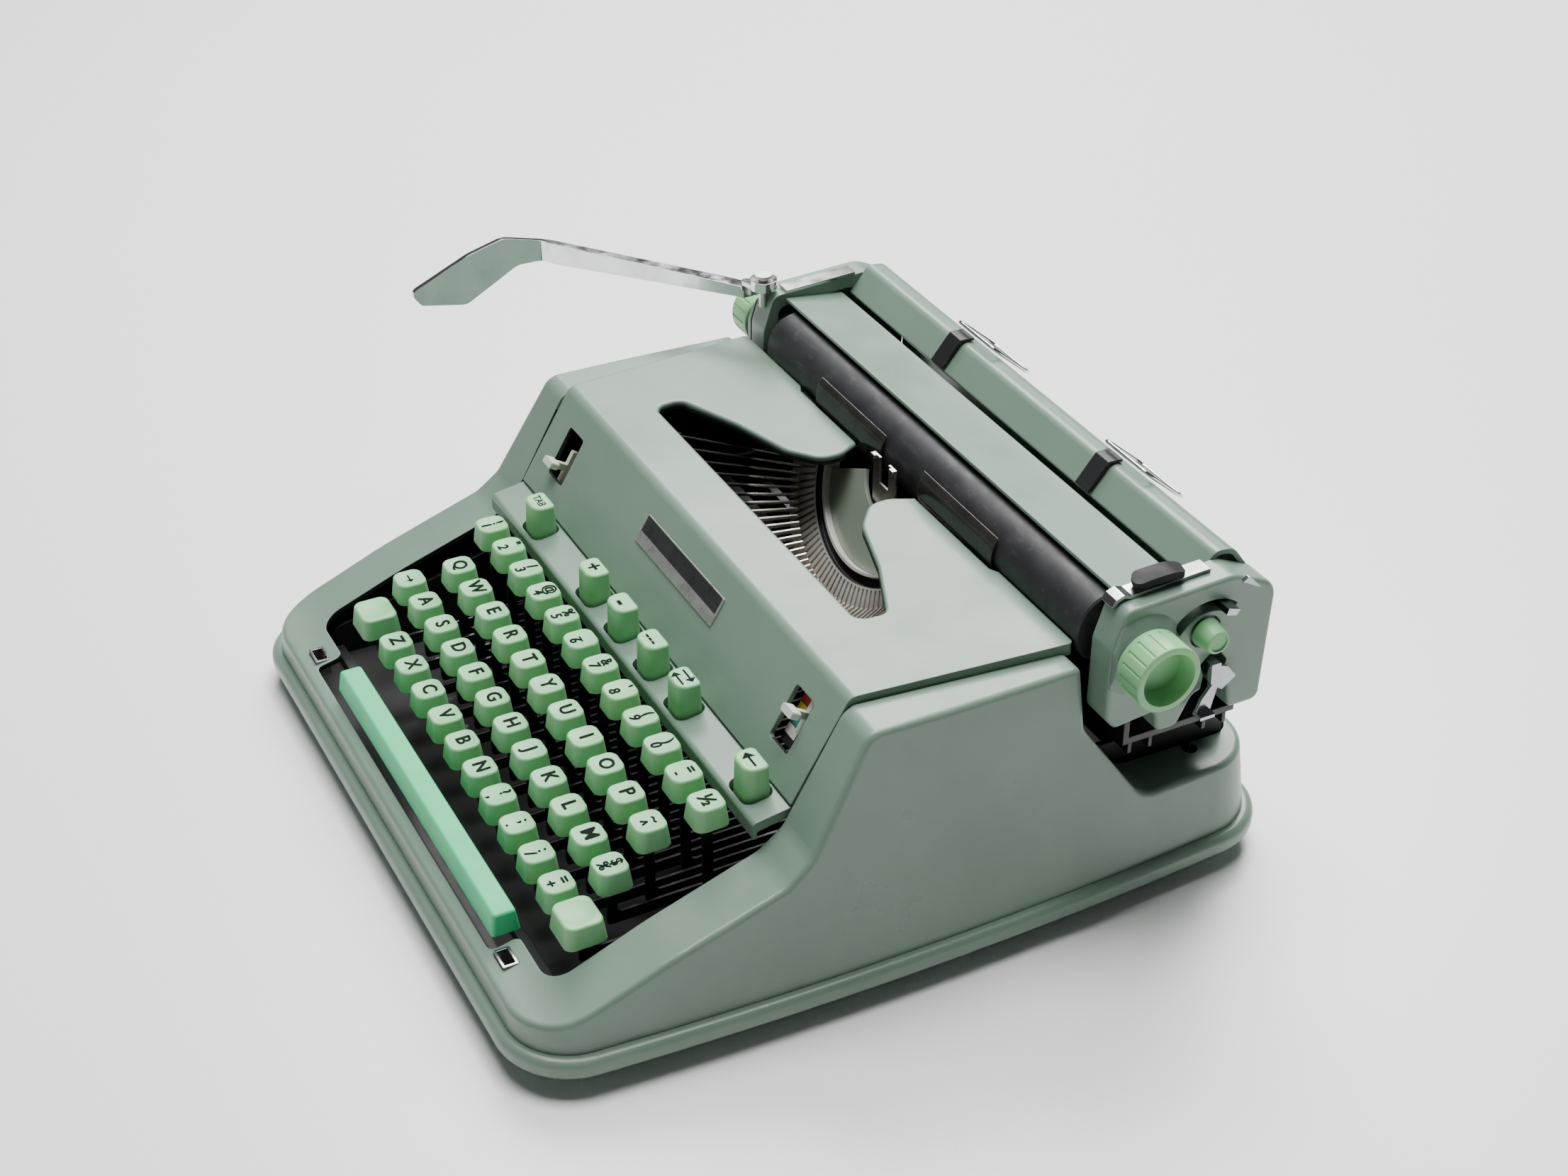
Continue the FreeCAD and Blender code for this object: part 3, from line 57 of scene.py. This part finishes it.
class Finish:
    """A procedural node material built step by step."""

    def __init__(self, name):
        self.material = bpy.data.materials.new(name)
        self.material.use_nodes = True
        self.tree = self.material.node_tree
        self.shader = self.tree.nodes["Principled BSDF"]
        self.coords = self.node("ShaderNodeTexCoord").outputs["Object"]

    def node(self, kind, **settings):
        made = self.tree.nodes.new(kind)
        for key, value in settings.items():
            setattr(made, key, value)
        return made

    def link(self, source, target):
        self.tree.links.new(source, target)

    def feed(self, target, value):
        if hasattr(value, "is_linked"):
            self.link(value, target)
        else:
            target.default_value = value

    def noise(self, scale, detail=3.0, rough=0.55, stretch=None):
        coords = self.coords
        if stretch:
            mapping = self.node("ShaderNodeMapping")
            mapping.inputs["Scale"].default_value = stretch
            self.link(coords, mapping.inputs["Vector"])
            coords = mapping.outputs["Vector"]
        made = self.node("ShaderNodeTexNoise")
        self.link(coords, made.inputs["Vector"])
        made.inputs["Scale"].default_value = scale
        made.inputs["Detail"].default_value = detail
        made.inputs["Roughness"].default_value = rough
        return made.outputs["Fac"]

    def math(self, operation, *values):
        made = self.node("ShaderNodeMath", operation=operation)
        for socket, value in zip(made.inputs, values):
            self.feed(socket, value)
        return made.outputs[0]

    def remap(self, value, low, high, to_low, to_high):
        made = self.node("ShaderNodeMapRange")
        for key, number in zip(("From Min", "From Max", "To Min", "To Max"), (low, high, to_low, to_high)):
            made.inputs[key].default_value = number
        self.feed(made.inputs["Value"], value)
        return made.outputs["Result"]

    def blend(self, amount, first, second):
        made = self.node("ShaderNodeMix", data_type="RGBA")
        self.feed(made.inputs["Factor"], amount)
        self.feed(made.inputs["A"], first)
        self.feed(made.inputs["B"], second)
        return made.outputs["Result"]

    def edge(self, radius):
        """1 near a sharp edge, 0 on flat surface: how far a softened normal leans from the true one."""
        bevel = self.node("ShaderNodeBevel", samples=4)
        bevel.inputs["Radius"].default_value = radius
        normal = self.node("ShaderNodeNewGeometry").outputs["Normal"]
        dot = self.node("ShaderNodeVectorMath", operation="DOT_PRODUCT")
        self.link(bevel.outputs["Normal"], dot.inputs[0])
        self.link(normal, dot.inputs[1])
        return self.remap(dot.outputs["Value"], 0.99, 0.8, 0.0, 1.0)

    def axis(self, name):
        """One coordinate of the surface point, in the row's metres."""
        split = self.node("ShaderNodeSeparateXYZ")
        self.link(self.coords, split.inputs[0])
        return split.outputs[name]

    def band(self, value, low, high, soft=0.0002):
        """1 between two values and 0 outside, with a short ramp at both ends."""
        above = self.remap(value, low - soft, low + soft, 0.0, 1.0)
        below = self.remap(value, high - soft, high + soft, 1.0, 0.0)
        return self.math("MULTIPLY", above, below)

    def away_from(self, point):
        """Distance of the surface point from a fixed point."""
        far = self.node("ShaderNodeVectorMath", operation="DISTANCE")
        self.link(self.coords, far.inputs[0])
        far.inputs[1].default_value = point
        return far.outputs["Value"]

    def inside(self, centre, ceiling=1.0):
        """1 on faces that look towards a centre, which are the inner faces of a shell below a ceiling."""
        geometry = self.node("ShaderNodeNewGeometry")
        away = self.node("ShaderNodeVectorMath", operation="SUBTRACT")
        self.link(self.coords, away.inputs[0])
        away.inputs[1].default_value = centre
        dot = self.node("ShaderNodeVectorMath", operation="DOT_PRODUCT")
        self.link(away.outputs["Vector"], dot.inputs[0])
        self.link(geometry.outputs["Normal"], dot.inputs[1])
        inner = self.math("LESS_THAN", dot.outputs["Value"], -0.001)
        return self.math("MULTIPLY", inner, self.math("LESS_THAN", self.axis("Z"), ceiling))

    def bump(self, height, strength, distance, round_edge=0.0003):
        """Fine relief on top of edges that catch the light as if slightly rounded."""
        made = self.node("ShaderNodeBump")
        bevel = self.node("ShaderNodeBevel", samples=6)
        bevel.inputs["Radius"].default_value = round_edge
        self.link(bevel.outputs["Normal"], made.inputs["Normal"])
        made.inputs["Strength"].default_value = strength
        made.inputs["Distance"].default_value = distance
        self.link(height, made.inputs["Height"])
        self.link(made.outputs["Normal"], self.shader.inputs["Normal"])

    def put(self, name, value):
        self.feed(self.shader.inputs[name], value)


def rgb(red, green, blue):
    """An sRGB colour given in 0..255 as linear numbers."""
    linear = []
    for level in (red, green, blue):
        level /= 255
        linear.append(level / 12.92 if level <= 0.04045 else ((level + 0.055) / 1.055) ** 2.4)
    return (*linear, 1.0)


def paint(name, colour, rough=0.32, wear=0.5, coat=0.12, spread=0.06, inner=None, ceiling=1.0):
    """Glossy enamel on steel with faint orange peel, handling marks and worn edges; inner faces below the
    ceiling get painted shade, near black.
    """
    made = Finish(name)
    dull = tuple(c * (1 - spread * 2) for c in colour[:3]) + (1.0,)
    mottled = made.blend(made.remap(made.noise(14, 4), 0.35, 0.7, 0, 1), colour, dull)
    grime = made.remap(made.noise(55, 5, 0.65), 0.6, 0.8, 0, 0.25)
    tinted = made.blend(grime, mottled, tuple(c * 0.78 for c in colour[:3]) + (1.0,))
    chipped = made.math("MULTIPLY", made.edge(0.0009), made.remap(made.noise(160, 4), 0.54, 0.64, 0, wear))
    top = made.blend(chipped, tinted, rgb(96, 98, 94))
    roughness = made.remap(made.noise(30, 4), 0.3, 0.7, rough - 0.07, rough + 0.1)
    if inner:
        # painted shade: inner faces below the ceiling are coloured near black and made rougher
        dark = made.inside(inner, ceiling)
        top = made.blend(dark, top, (0.012, 0.012, 0.012, 1))
        roughness = made.math("ADD", roughness, made.math("MULTIPLY", dark, 0.4))
    made.put("Base Color", top)
    made.put("Roughness", roughness)
    made.put("Metallic", 0.0)
    made.put("Coat Weight", coat)
    made.put("Coat Roughness", 0.08)
    made.bump(made.noise(420, 2), 0.04, 0.0004, 0.0007)
    return made.material


def plastic(name, colour, rough=0.28, spread=0.05, wear=0.2, shine=0.5):
    """Moulded plastic, yellowed a little in places, with polished and scuffed patches."""
    made = Finish(name)
    warm = (min(1, colour[0] * 1.12), colour[1] * 0.99, colour[2] * 0.84, 1.0)
    aged = made.blend(made.remap(made.noise(26, 4), 0.42, 0.72, 0, 0.7), colour, warm)
    scuff = made.math("MULTIPLY", made.edge(0.0006), made.remap(made.noise(240, 3), 0.45, 0.6, 0, wear))
    pale = tuple(min(1.0, c * (1 + spread * 3)) for c in colour[:3]) + (1.0,)
    made.put("Base Color", made.blend(scuff, aged, pale))
    made.put("Roughness", made.remap(made.noise(90, 4), 0.3, 0.7, rough - 0.06, rough + 0.12))
    made.put("Specular IOR Level", shine)
    made.bump(made.noise(300, 3), 0.04, 0.0003)
    return made.material


def metal(name, colour, rough=0.2, brushed=None, wear=0.3, spread=0.1):
    """Plated or brushed metal with hazy patches and scratches."""
    made = Finish(name)
    dull = tuple(c * (1 - spread * 2.5) for c in colour[:3]) + (1.0,)
    patchy_fade = made.remap(made.noise(60, 5, 0.6), 0.4, 0.75, 0, 1)
    made.put("Base Color", made.blend(patchy_fade, colour, dull))
    made.put("Metallic", 1.0)
    grain = made.noise(700, 2, 0.5, brushed or (1, 1, 1))
    base = made.remap(made.noise(120, 4), 0.3, 0.7, rough - 0.06, rough + 0.12)
    worn = made.math("MULTIPLY", made.edge(0.0004), wear * 0.2)
    made.put("Roughness", made.math("ADD", base, worn))
    made.bump(grain, 0.12 if brushed else 0.03, 0.0002)
    return made.material


def rubber(name, colour, rough=0.6, dust=0.12):
    """Hard rubber with dust in the scratches."""
    made = Finish(name)
    dusty = made.remap(made.noise(180, 6, 0.7), 0.56, 0.78, 0, dust)
    scratch = made.remap(made.noise(260, 3, 0.6, (0.15, 1, 1)), 0.62, 0.8, 0, dust)
    both = made.math("MAXIMUM", dusty, scratch)
    edge = made.math("MULTIPLY", made.edge(0.0008), dust)
    made.put("Base Color", made.blend(made.math("MAXIMUM", both, edge), colour, (0.35, 0.34, 0.31, 1)))
    made.put("Roughness", made.remap(made.noise(80, 4), 0.3, 0.7, rough - 0.1, rough + 0.1))
    made.bump(made.noise(500, 3), 0.08, 0.0003)
    return made.material


GREEN = rgb(114, 138, 122)
MINT = rgb(130, 194, 140)
MINT_BAR = rgb(66, 200, 136)
BLACK = (0.012, 0.012, 0.013, 1)
PRINT_POINT = spot(0, 65, 118)

enamel = paint("enamel", GREEN, 0.34)
enamel_shell = paint("enamel_shell", GREEN, 0.34, inner=spot(0, 0, 20), ceiling=0.105)
enamel_hood = paint("enamel_hood", GREEN, 0.34, inner=spot(0, 16, 60), ceiling=0.1128)
enamel_tray = paint("enamel_tray", GREEN, 0.36, inner=spot(0, 0, 13), ceiling=0.0162)
mint = plastic("mint", MINT, 0.34, shine=0.35)
mint_bar = plastic("mint_bar", MINT_BAR, 0.4, shine=0.3)
black_steel = paint("black_steel", (0.012, 0.012, 0.013, 1), 0.42, wear=0.8, coat=0.1)
bright_steel = metal("bright_steel", (0.62, 0.6, 0.56, 1), 0.3, brushed=(1, 12, 1))
chrome = metal("chrome", (0.78, 0.79, 0.8, 1), 0.1)
foot_rubber = rubber("foot_rubber", (0.02, 0.02, 0.02, 1), 0.75)
platen_rubber = rubber("platen_rubber", (0.018, 0.018, 0.02, 1), 0.5)
black_plastic = plastic("black_plastic", (0.008, 0.008, 0.009, 1), 0.34)
plate_alu = metal("plate_alu", (0.55, 0.56, 0.55, 1), 0.3, brushed=(14, 1, 1))
scale_paint = plastic("scale_paint", (0.02, 0.02, 0.02, 1), 0.4)
tab_plastic = plastic("tab_plastic", rgb(205, 214, 200), 0.35)
ink = plastic("legend_ink", rgb(16, 28, 20), 0.8, wear=0.0, shine=0.1)



def segment_look():
    """The ring of typebar slots: a bright inner rim, a black ring of painted shade over the slots and a
    band worn from silver to brown.
    """
    made = Finish("segment")
    far = made.away_from(PRINT_POINT)
    browning = made.remap(far, 0.053, 0.064, 0.0, 1.0)
    worn = made.math("MULTIPLY", browning, made.remap(made.noise(90, 4), 0.3, 0.6, 0.5, 1.0))
    band = made.blend(worn, (0.85, 0.83, 0.78, 1), (0.4, 0.32, 0.23, 1))
    # painted shade: a black ring where the slots' shade falls, with no metallic sheen
    slot_shade = made.band(far, 0.0456, 0.0496)
    colour = made.blend(slot_shade, band, BLACK)
    top = made.blend(made.math("MULTIPLY", made.edge(0.0003), 0.4), colour, (0.75, 0.74, 0.7, 1))
    made.put("Base Color", top)
    made.put("Metallic", made.remap(slot_shade, 0, 1, 0.45, 0.0))
    made.put("Roughness", made.remap(made.noise(140, 4), 0.3, 0.7, 0.28, 0.48))
    made.bump(made.noise(500, 2), 0.05, 0.0002)
    return made.material


def typebar_look():
    """Typebars are bright by their pivots and black beyond, with steel slugs at the ends."""
    made = Finish("typebar")
    far = made.away_from(PRINT_POINT)
    bright = made.math("MAXIMUM", made.band(far, 0.0, 0.0735, 0.001), made.band(far, 0.109, 0.2, 0.0005))
    mottle = made.remap(made.noise(120, 4), 0.35, 0.65, 0.0, 1.0)
    steel = made.blend(mottle, (0.85, 0.83, 0.78, 1), (0.6, 0.55, 0.46, 1))
    worn = made.math("MULTIPLY", made.edge(0.0003), 0.25)
    made.put("Base Color", made.blend(worn, made.blend(bright, BLACK, steel), (0.5, 0.5, 0.48, 1)))
    made.put("Metallic", made.remap(bright, 0, 1, 0.2, 0.6))
    made.put("Roughness", made.remap(mottle, 0, 1, 0.25, 0.4))
    made.bump(made.noise(500, 2), 0.04, 0.0002, 0.0002)
    return made.material


def nameplate_look():
    """A blank badge: silver frame and lower strip around a black band."""
    low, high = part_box("nameplate")
    made = Finish("nameplate")
    tall = high.y - low.y
    across = made.band(made.axis("X"), low.x + 0.0011, high.x - 0.0011, 0.0001)
    along = made.band(made.axis("Y"), low.y + 0.36 * tall, high.y - 0.0007, 0.0001)
    black = made.math("MULTIPLY", across, along)
    silver = made.blend(made.noise(200, 4), (0.62, 0.62, 0.6, 1), (0.45, 0.45, 0.43, 1))
    worn = made.math("MULTIPLY", made.edge(0.0004), 0.3)
    made.put("Base Color", made.blend(worn, made.blend(black, silver, BLACK), (0.8, 0.8, 0.78, 1)))
    made.put("Metallic", made.remap(black, 0, 1, 0.9, 0.0))
    made.put("Roughness", made.remap(made.noise(160, 3), 0.3, 0.7, 0.24, 0.36))
    made.bump(made.noise(500, 2), 0.04, 0.0002)
    return made.material


def touch_scale_look():
    """The touch scale: four painted patches on the left half of a black plate."""
    low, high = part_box("touch_scale")
    middle = (low.x + high.x) / 2 - 0.0012
    made = Finish("touch_scale")
    tall = high.y - low.y
    colour = BLACK
    white, teal, yellow, red = rgb(226, 226, 216), rgb(40, 150, 140), rgb(222, 190, 60), rgb(196, 60, 44)
    for start, shade in ((0.14, white), (0.32, teal), (0.5, yellow), (0.68, red)):
        along = made.band(made.axis("Y"), low.y + start * tall, low.y + (start + 0.16) * tall, 0.00005)
        patch = made.math("MULTIPLY", along, made.band(made.axis("X"), low.x, middle, 0.00005))
        colour = made.blend(patch, colour, shade)
    faded = made.blend(made.remap(made.noise(150, 4), 0.4, 0.7, 0, 0.25), colour, rgb(120, 116, 104))
    worn = made.math("MULTIPLY", made.edge(0.0004), 0.2)
    made.put("Base Color", made.blend(worn, faded, rgb(150, 150, 140)))
    made.put("Roughness", made.remap(made.noise(160, 3), 0.3, 0.7, 0.3, 0.5))
    made.bump(made.noise(500, 2), 0.04, 0.0002)
    return made.material


def strip_look():
    """The end strips, with a painted reflection that runs from bright at the front to dark towards the
    rear.
    """
    low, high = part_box("end_strips")
    made = Finish("end_strip")
    long = high.y - low.y
    # painted reflection: the strip's colour darkens from the front towards the rear, broken up by noise
    reflection_fade = made.remap(made.axis("Y"), low.y + 0.35 * long, high.y, 0.0, 0.9)
    patchy_fade = made.math("MULTIPLY", reflection_fade, made.remap(made.noise(70, 4), 0.3, 0.6, 0.6, 1.0))
    worn = made.math("MULTIPLY", made.edge(0.0004), 0.3)
    metal_colour = made.blend(patchy_fade, (0.5, 0.5, 0.48, 1), (0.06, 0.058, 0.054, 1))
    made.put("Base Color", made.blend(worn, metal_colour, (0.9, 0.9, 0.88, 1)))
    made.put("Metallic", 1.0)
    made.put("Roughness", made.remap(made.noise(140, 4), 0.3, 0.7, 0.12, 0.28))
    made.bump(made.noise(500, 2), 0.04, 0.0002)
    return made.material


def guide_look():
    """Dark see-through plastic of the card guides."""
    made = Finish("card_guide")
    patchy_fade = made.remap(made.noise(90, 4), 0.4, 0.7, 0.0, 0.3)
    worn = made.math("MULTIPLY", made.edge(0.0004), 0.5)
    tinted = made.blend(patchy_fade, (0.03, 0.028, 0.026, 1), (0.1, 0.09, 0.08, 1))
    made.put("Base Color", made.blend(worn, tinted, (0.4, 0.39, 0.36, 1)))
    made.put("Roughness", made.remap(made.noise(120, 3), 0.3, 0.7, 0.1, 0.22))
    made.put("Alpha", 0.78)
    made.bump(made.noise(400, 2), 0.03, 0.0002)
    return made.material


LOOKS = {
    "enamel": enamel,
    "enamel_light": enamel,
    "mint": mint,
    "mint_bar": mint_bar,
    "black_steel": black_steel,
    "bright_steel": bright_steel,
    "chrome": chrome,
    "foot_rubber": foot_rubber,
    "platen_rubber": platen_rubber,
    "black_plastic": black_plastic,
    "plate_alu": plate_alu,
    "scale_paint": scale_paint,
    "tab_plastic": tab_plastic,
}
SPECIAL = {
    "body_shell": enamel_shell,
    "hood": enamel_hood,
    "base_tray": enamel_tray,
    "type_segment": segment_look(),
    "segment_plate": paint("inner_plate", rgb(132, 142, 128), 0.4, wear=0.8),
    "typebars": typebar_look(),
    "typebar_middle": typebar_look(),
    "nameplate": nameplate_look(),
    "touch_scale": touch_scale_look(),
    "end_strips": strip_look(),
    "card_guides": guide_look(),
    "carriage_release_lever": metal("lever_chrome", (0.42, 0.43, 0.45, 1), 0.14, spread=0.15),
    "platen_release_lever": metal("lever_plate", (0.42, 0.43, 0.45, 1), 0.14, spread=0.15),
    "paper_release_lever": plastic("black_lever", BLACK, 0.45, shine=0.15),
    "latch_sockets": metal("dark_chrome", (0.35, 0.35, 0.35, 1), 0.16, spread=0.15),
}
SLOT_OF = {row["node"]: row["material_slot"] for row in frame["record"]["subparts"]}
for label, item in frame["nodes"].items():
    item.data.materials.clear()
    item.data.materials.append(SPECIAL.get(label, LOOKS[SLOT_OF[label]]))


# ---- building pieces ------------------------------------------------------------------------------------


def add_piece(name, mesh, body, look):
    item = bpy.data.objects.new(name, mesh)
    bpy.context.scene.collection.objects.link(item)
    mesh.materials.clear()
    mesh.materials.append(look)
    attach(item, body)
    return item


def mesh_of(name, vertices, faces, smooth=False):
    mesh = bpy.data.meshes.new(name)
    mesh.from_pydata([tuple(v) for v in vertices], [], faces)
    mesh.update()
    for polygon in mesh.polygons:
        polygon.use_smooth = smooth
    return mesh


def text_mesh(name, words, height, thick):
    """Lettering in Blender's own font, flat in XY, centred on the origin."""
    curve = bpy.data.curves.new(name, "FONT")
    curve.body = words
    curve.size = height
    curve.offset = height * 0.018
    curve.extrude = thick / 2
    curve.align_x = "CENTER"
    curve.align_y = "CENTER"
    curve.resolution_u = 3
    holder = bpy.data.objects.new(name, curve)
    bpy.context.scene.collection.objects.link(holder)
    bpy.context.view_layer.update()
    mesh = bpy.data.meshes.new_from_object(holder)
    bpy.data.objects.remove(holder)
    return mesh


def joined_mesh(name, parts):
    """One mesh from (mesh, matrix) pairs."""
    vertices, faces = [], []
    for mesh, matrix in parts:
        start = len(vertices)
        vertices += [matrix @ v.co for v in mesh.vertices]
        faces += [[start + i for i in p.vertices] for p in mesh.polygons]
    return mesh_of(name, vertices, faces)


# ---- legends --------------------------------------------------------------------------------------------

DIGITS = ["1 !", '2 "', "3 /", "4 @", "5 %", "6 _", "7 &", "8 '", "9 (", "0 )", "- =", "½"]
# each row's first key (x, y), the height of its caps, and its signs from the left
ROWS = {
    4: (-98.55, -72.4, 75.7, DIGITS),
    3: (-88.97, -91.5, 66.3, list("QWERTYUIOP") + ["^ ~"]),
    2: (-84.26, -109.1, 56.5, list("ASDFGHJKLM") + ["% $"]),
    1: (-74.73, -126.2, 47.5, list("ZXCVBN") + [", ?", ". ;", "/ :", "+ ="]),
}
PITCH = 19.05


DISH_RAD = 42
DISH_DEEP = 0.55
LOCK_X = -103.31


def dished(mesh, x, y, top, lift):
    """The sign laid into the dished top of the cap at (x, y)."""
    for vertex in mesh.vertices:
        across, along, up = vertex.co / MM
        along += lift
        floor_z = top - DISH_DEEP + (across * across + along * along) / (2 * DISH_RAD)
        vertex.co = spot(x + across, y + along, floor_z + up + 0.18)
    return mesh, Matrix.Identity(4)


def legend(words, x, y, top, height):
    """A letter sits alone; two signs stand one above the other."""
    signs = words.split(" ")
    if len(signs) == 1:
        return [dished(text_mesh("sign", signs[0], height * MM, 0.12 * MM), x, y, top, 0.3)]
    parts = []
    for sign, lift in zip(signs, (-2.5, 2.7)):
        parts.append(dished(text_mesh("sign", sign, height * 0.78 * MM, 0.12 * MM), x, y, top, lift))
    return parts


for row, (x, y, z, signs) in ROWS.items():
    parts = []
    for number, words in enumerate(signs):
        parts += legend(words, x + number * PITCH, y, z, 8.2)
    add_piece(f"legends_row_{row}", joined_mesh("legends", parts), f"key_row_{row}", ink)

TALL_X = -90.5
TALL_PITCH = 28.5
TALL_Y = -53.5
TALL_TOP = 86
# the place of each lettered tall key along the shelf, its sign and the sign's height
FKEYS = {
    "tab_key": (0, "TAB", 4.8),
    "tab_set_key": (2, "+", 10),
    "tab_clear_key": (3, "-", 12),
    "clear_all_key": (4, "---", 8),
}
for body, (slot, words, height) in FKEYS.items():
    mesh = text_mesh("sign", words, height * MM, 0.12 * MM)
    place = Matrix.Translation(spot(TALL_X + slot * TALL_PITCH, TALL_Y, TALL_TOP))
    add_piece(f"legend_{body}", joined_mesh("sign", [(mesh, place)]), body, ink)


def arrow(x, y, z, length, direction, head, thick):
    """A flat arrow along X: its shaft and head as one thin outline. Direction is 1 or -1."""
    half = length / 2
    outline = [
        (-half, -thick / 2),
        (half - head, -thick / 2),
        (half - head, -head * 0.85),
        (half, 0),
        (half - head, head * 0.85),
        (half - head, thick / 2),
        (-half, thick / 2),
    ]
    low = [spot(x + direction * a, y + b, z) for a, b in outline]
    high = [p + Vector((0, 0, 0.06 * MM)) for p in low]
    count = len(outline)
    faces = [list(range(count, 2 * count))]
    faces += [[i, (i + 1) % count, count + (i + 1) % count, count + i] for i in range(count)]
    return low + high, faces


def signs_mesh(name, pieces):
    vertices, faces = [], []
    for points, sides in pieces:
        faces += [[len(vertices) + i for i in side] for side in sides]
        vertices += points
    return mesh_of(name, vertices, faces)


RELEASE_X = TALL_X + 5 * TALL_PITCH
BACK_X = TALL_X + 7 * TALL_PITCH
ways = ((TALL_Y + 2, 1), (TALL_Y - 2, -1))
two_way = signs_mesh("sign", [arrow(RELEASE_X, y, TALL_TOP, 9, way, 2.6, 0.8) for y, way in ways])
add_piece("legend_margin_release_key", two_way, "margin_release_key", ink)
back = signs_mesh("sign", [arrow(BACK_X, TALL_Y, TALL_TOP, 9, -1, 3.2, 0.9)])
add_piece("legend_backspace_key", back, "backspace_key", ink)
lock_y, lock_top = ROWS[2][1:3]
lock = signs_mesh("sign", [arrow(LOCK_X, lock_y, lock_top - DISH_DEEP + 0.06, 5.5, 1, 2, 0.7)])
add_piece("legend_shift_lock", lock, "lock_key", ink)


# ---- stage ----------------------------------------------------------------------------------------------

corners = [(-6, -6, 0), (6, -6, 0), (6, 6, 0), (-6, 6, 0)]
floor = bpy.data.objects.new("floor", mesh_of("floor", corners, [[0, 1, 2, 3]]))
bpy.context.scene.collection.objects.link(floor)
floor_look = Finish("floor_look")
floor_shade = floor_look.blend(floor_look.noise(3), (0.92, 0.92, 0.91, 1), (0.95, 0.95, 0.94, 1))
floor_look.put("Base Color", floor_shade)
floor_look.put("Roughness", 0.35)
floor.data.materials.append(floor_look.material)

world = bpy.data.worlds.new("room")
bpy.context.scene.world = world
world.use_nodes = True
world.node_tree.nodes["Background"].inputs["Color"].default_value = (0.93, 0.95, 1.0, 1)
world.node_tree.nodes["Background"].inputs["Strength"].default_value = 0.09


def softbox(name, place, target, wide, tall, power, colour=(1, 1, 1)):
    data = bpy.data.lights.new(name, "AREA")
    data.shape = "RECTANGLE"
    data.size, data.size_y = wide, tall
    data.energy = power
    data.color = colour
    lamp = bpy.data.objects.new(name, data)
    lamp.location = place
    lamp.rotation_euler = (Vector(target) - Vector(place)).to_track_quat("-Z", "Y").to_euler()
    bpy.context.scene.collection.objects.link(lamp)


softbox("window_light", (-1.2, 0.9, 1.6), (0, 0, 0.05), 1.5, 1.0, 70)
softbox("overhead", (-0.2, 0.1, 1.9), (0, 0, 0), 1.2, 0.9, 54)
softbox("front_fill", (0.9, -1.9, 0.9), (0, 0, 0.05), 1.2, 0.8, 1.0)

camera_data = bpy.data.cameras.new("camera")
camera = bpy.data.objects.new("camera", camera_data)
bpy.context.scene.collection.objects.link(camera)
bpy.context.scene.camera = camera
camera_data.lens = 56.39
camera_data.sensor_width = 36
camera_data.clip_start = 0.02
camera_data.clip_end = 50
turn, lift = math.radians(62.82), math.radians(33.74)
back_axis = Vector((math.sin(turn) * math.cos(lift), -math.cos(turn) * math.cos(lift), math.sin(lift)))
right_axis = Vector((math.cos(turn), math.sin(turn), 0))
up_axis = back_axis.cross(right_axis)
axes = Matrix((right_axis, up_axis, back_axis)).transposed().to_4x4()
camera.matrix_world = Matrix.Translation(spot(740.5, -364.1, 630.4)) @ axes
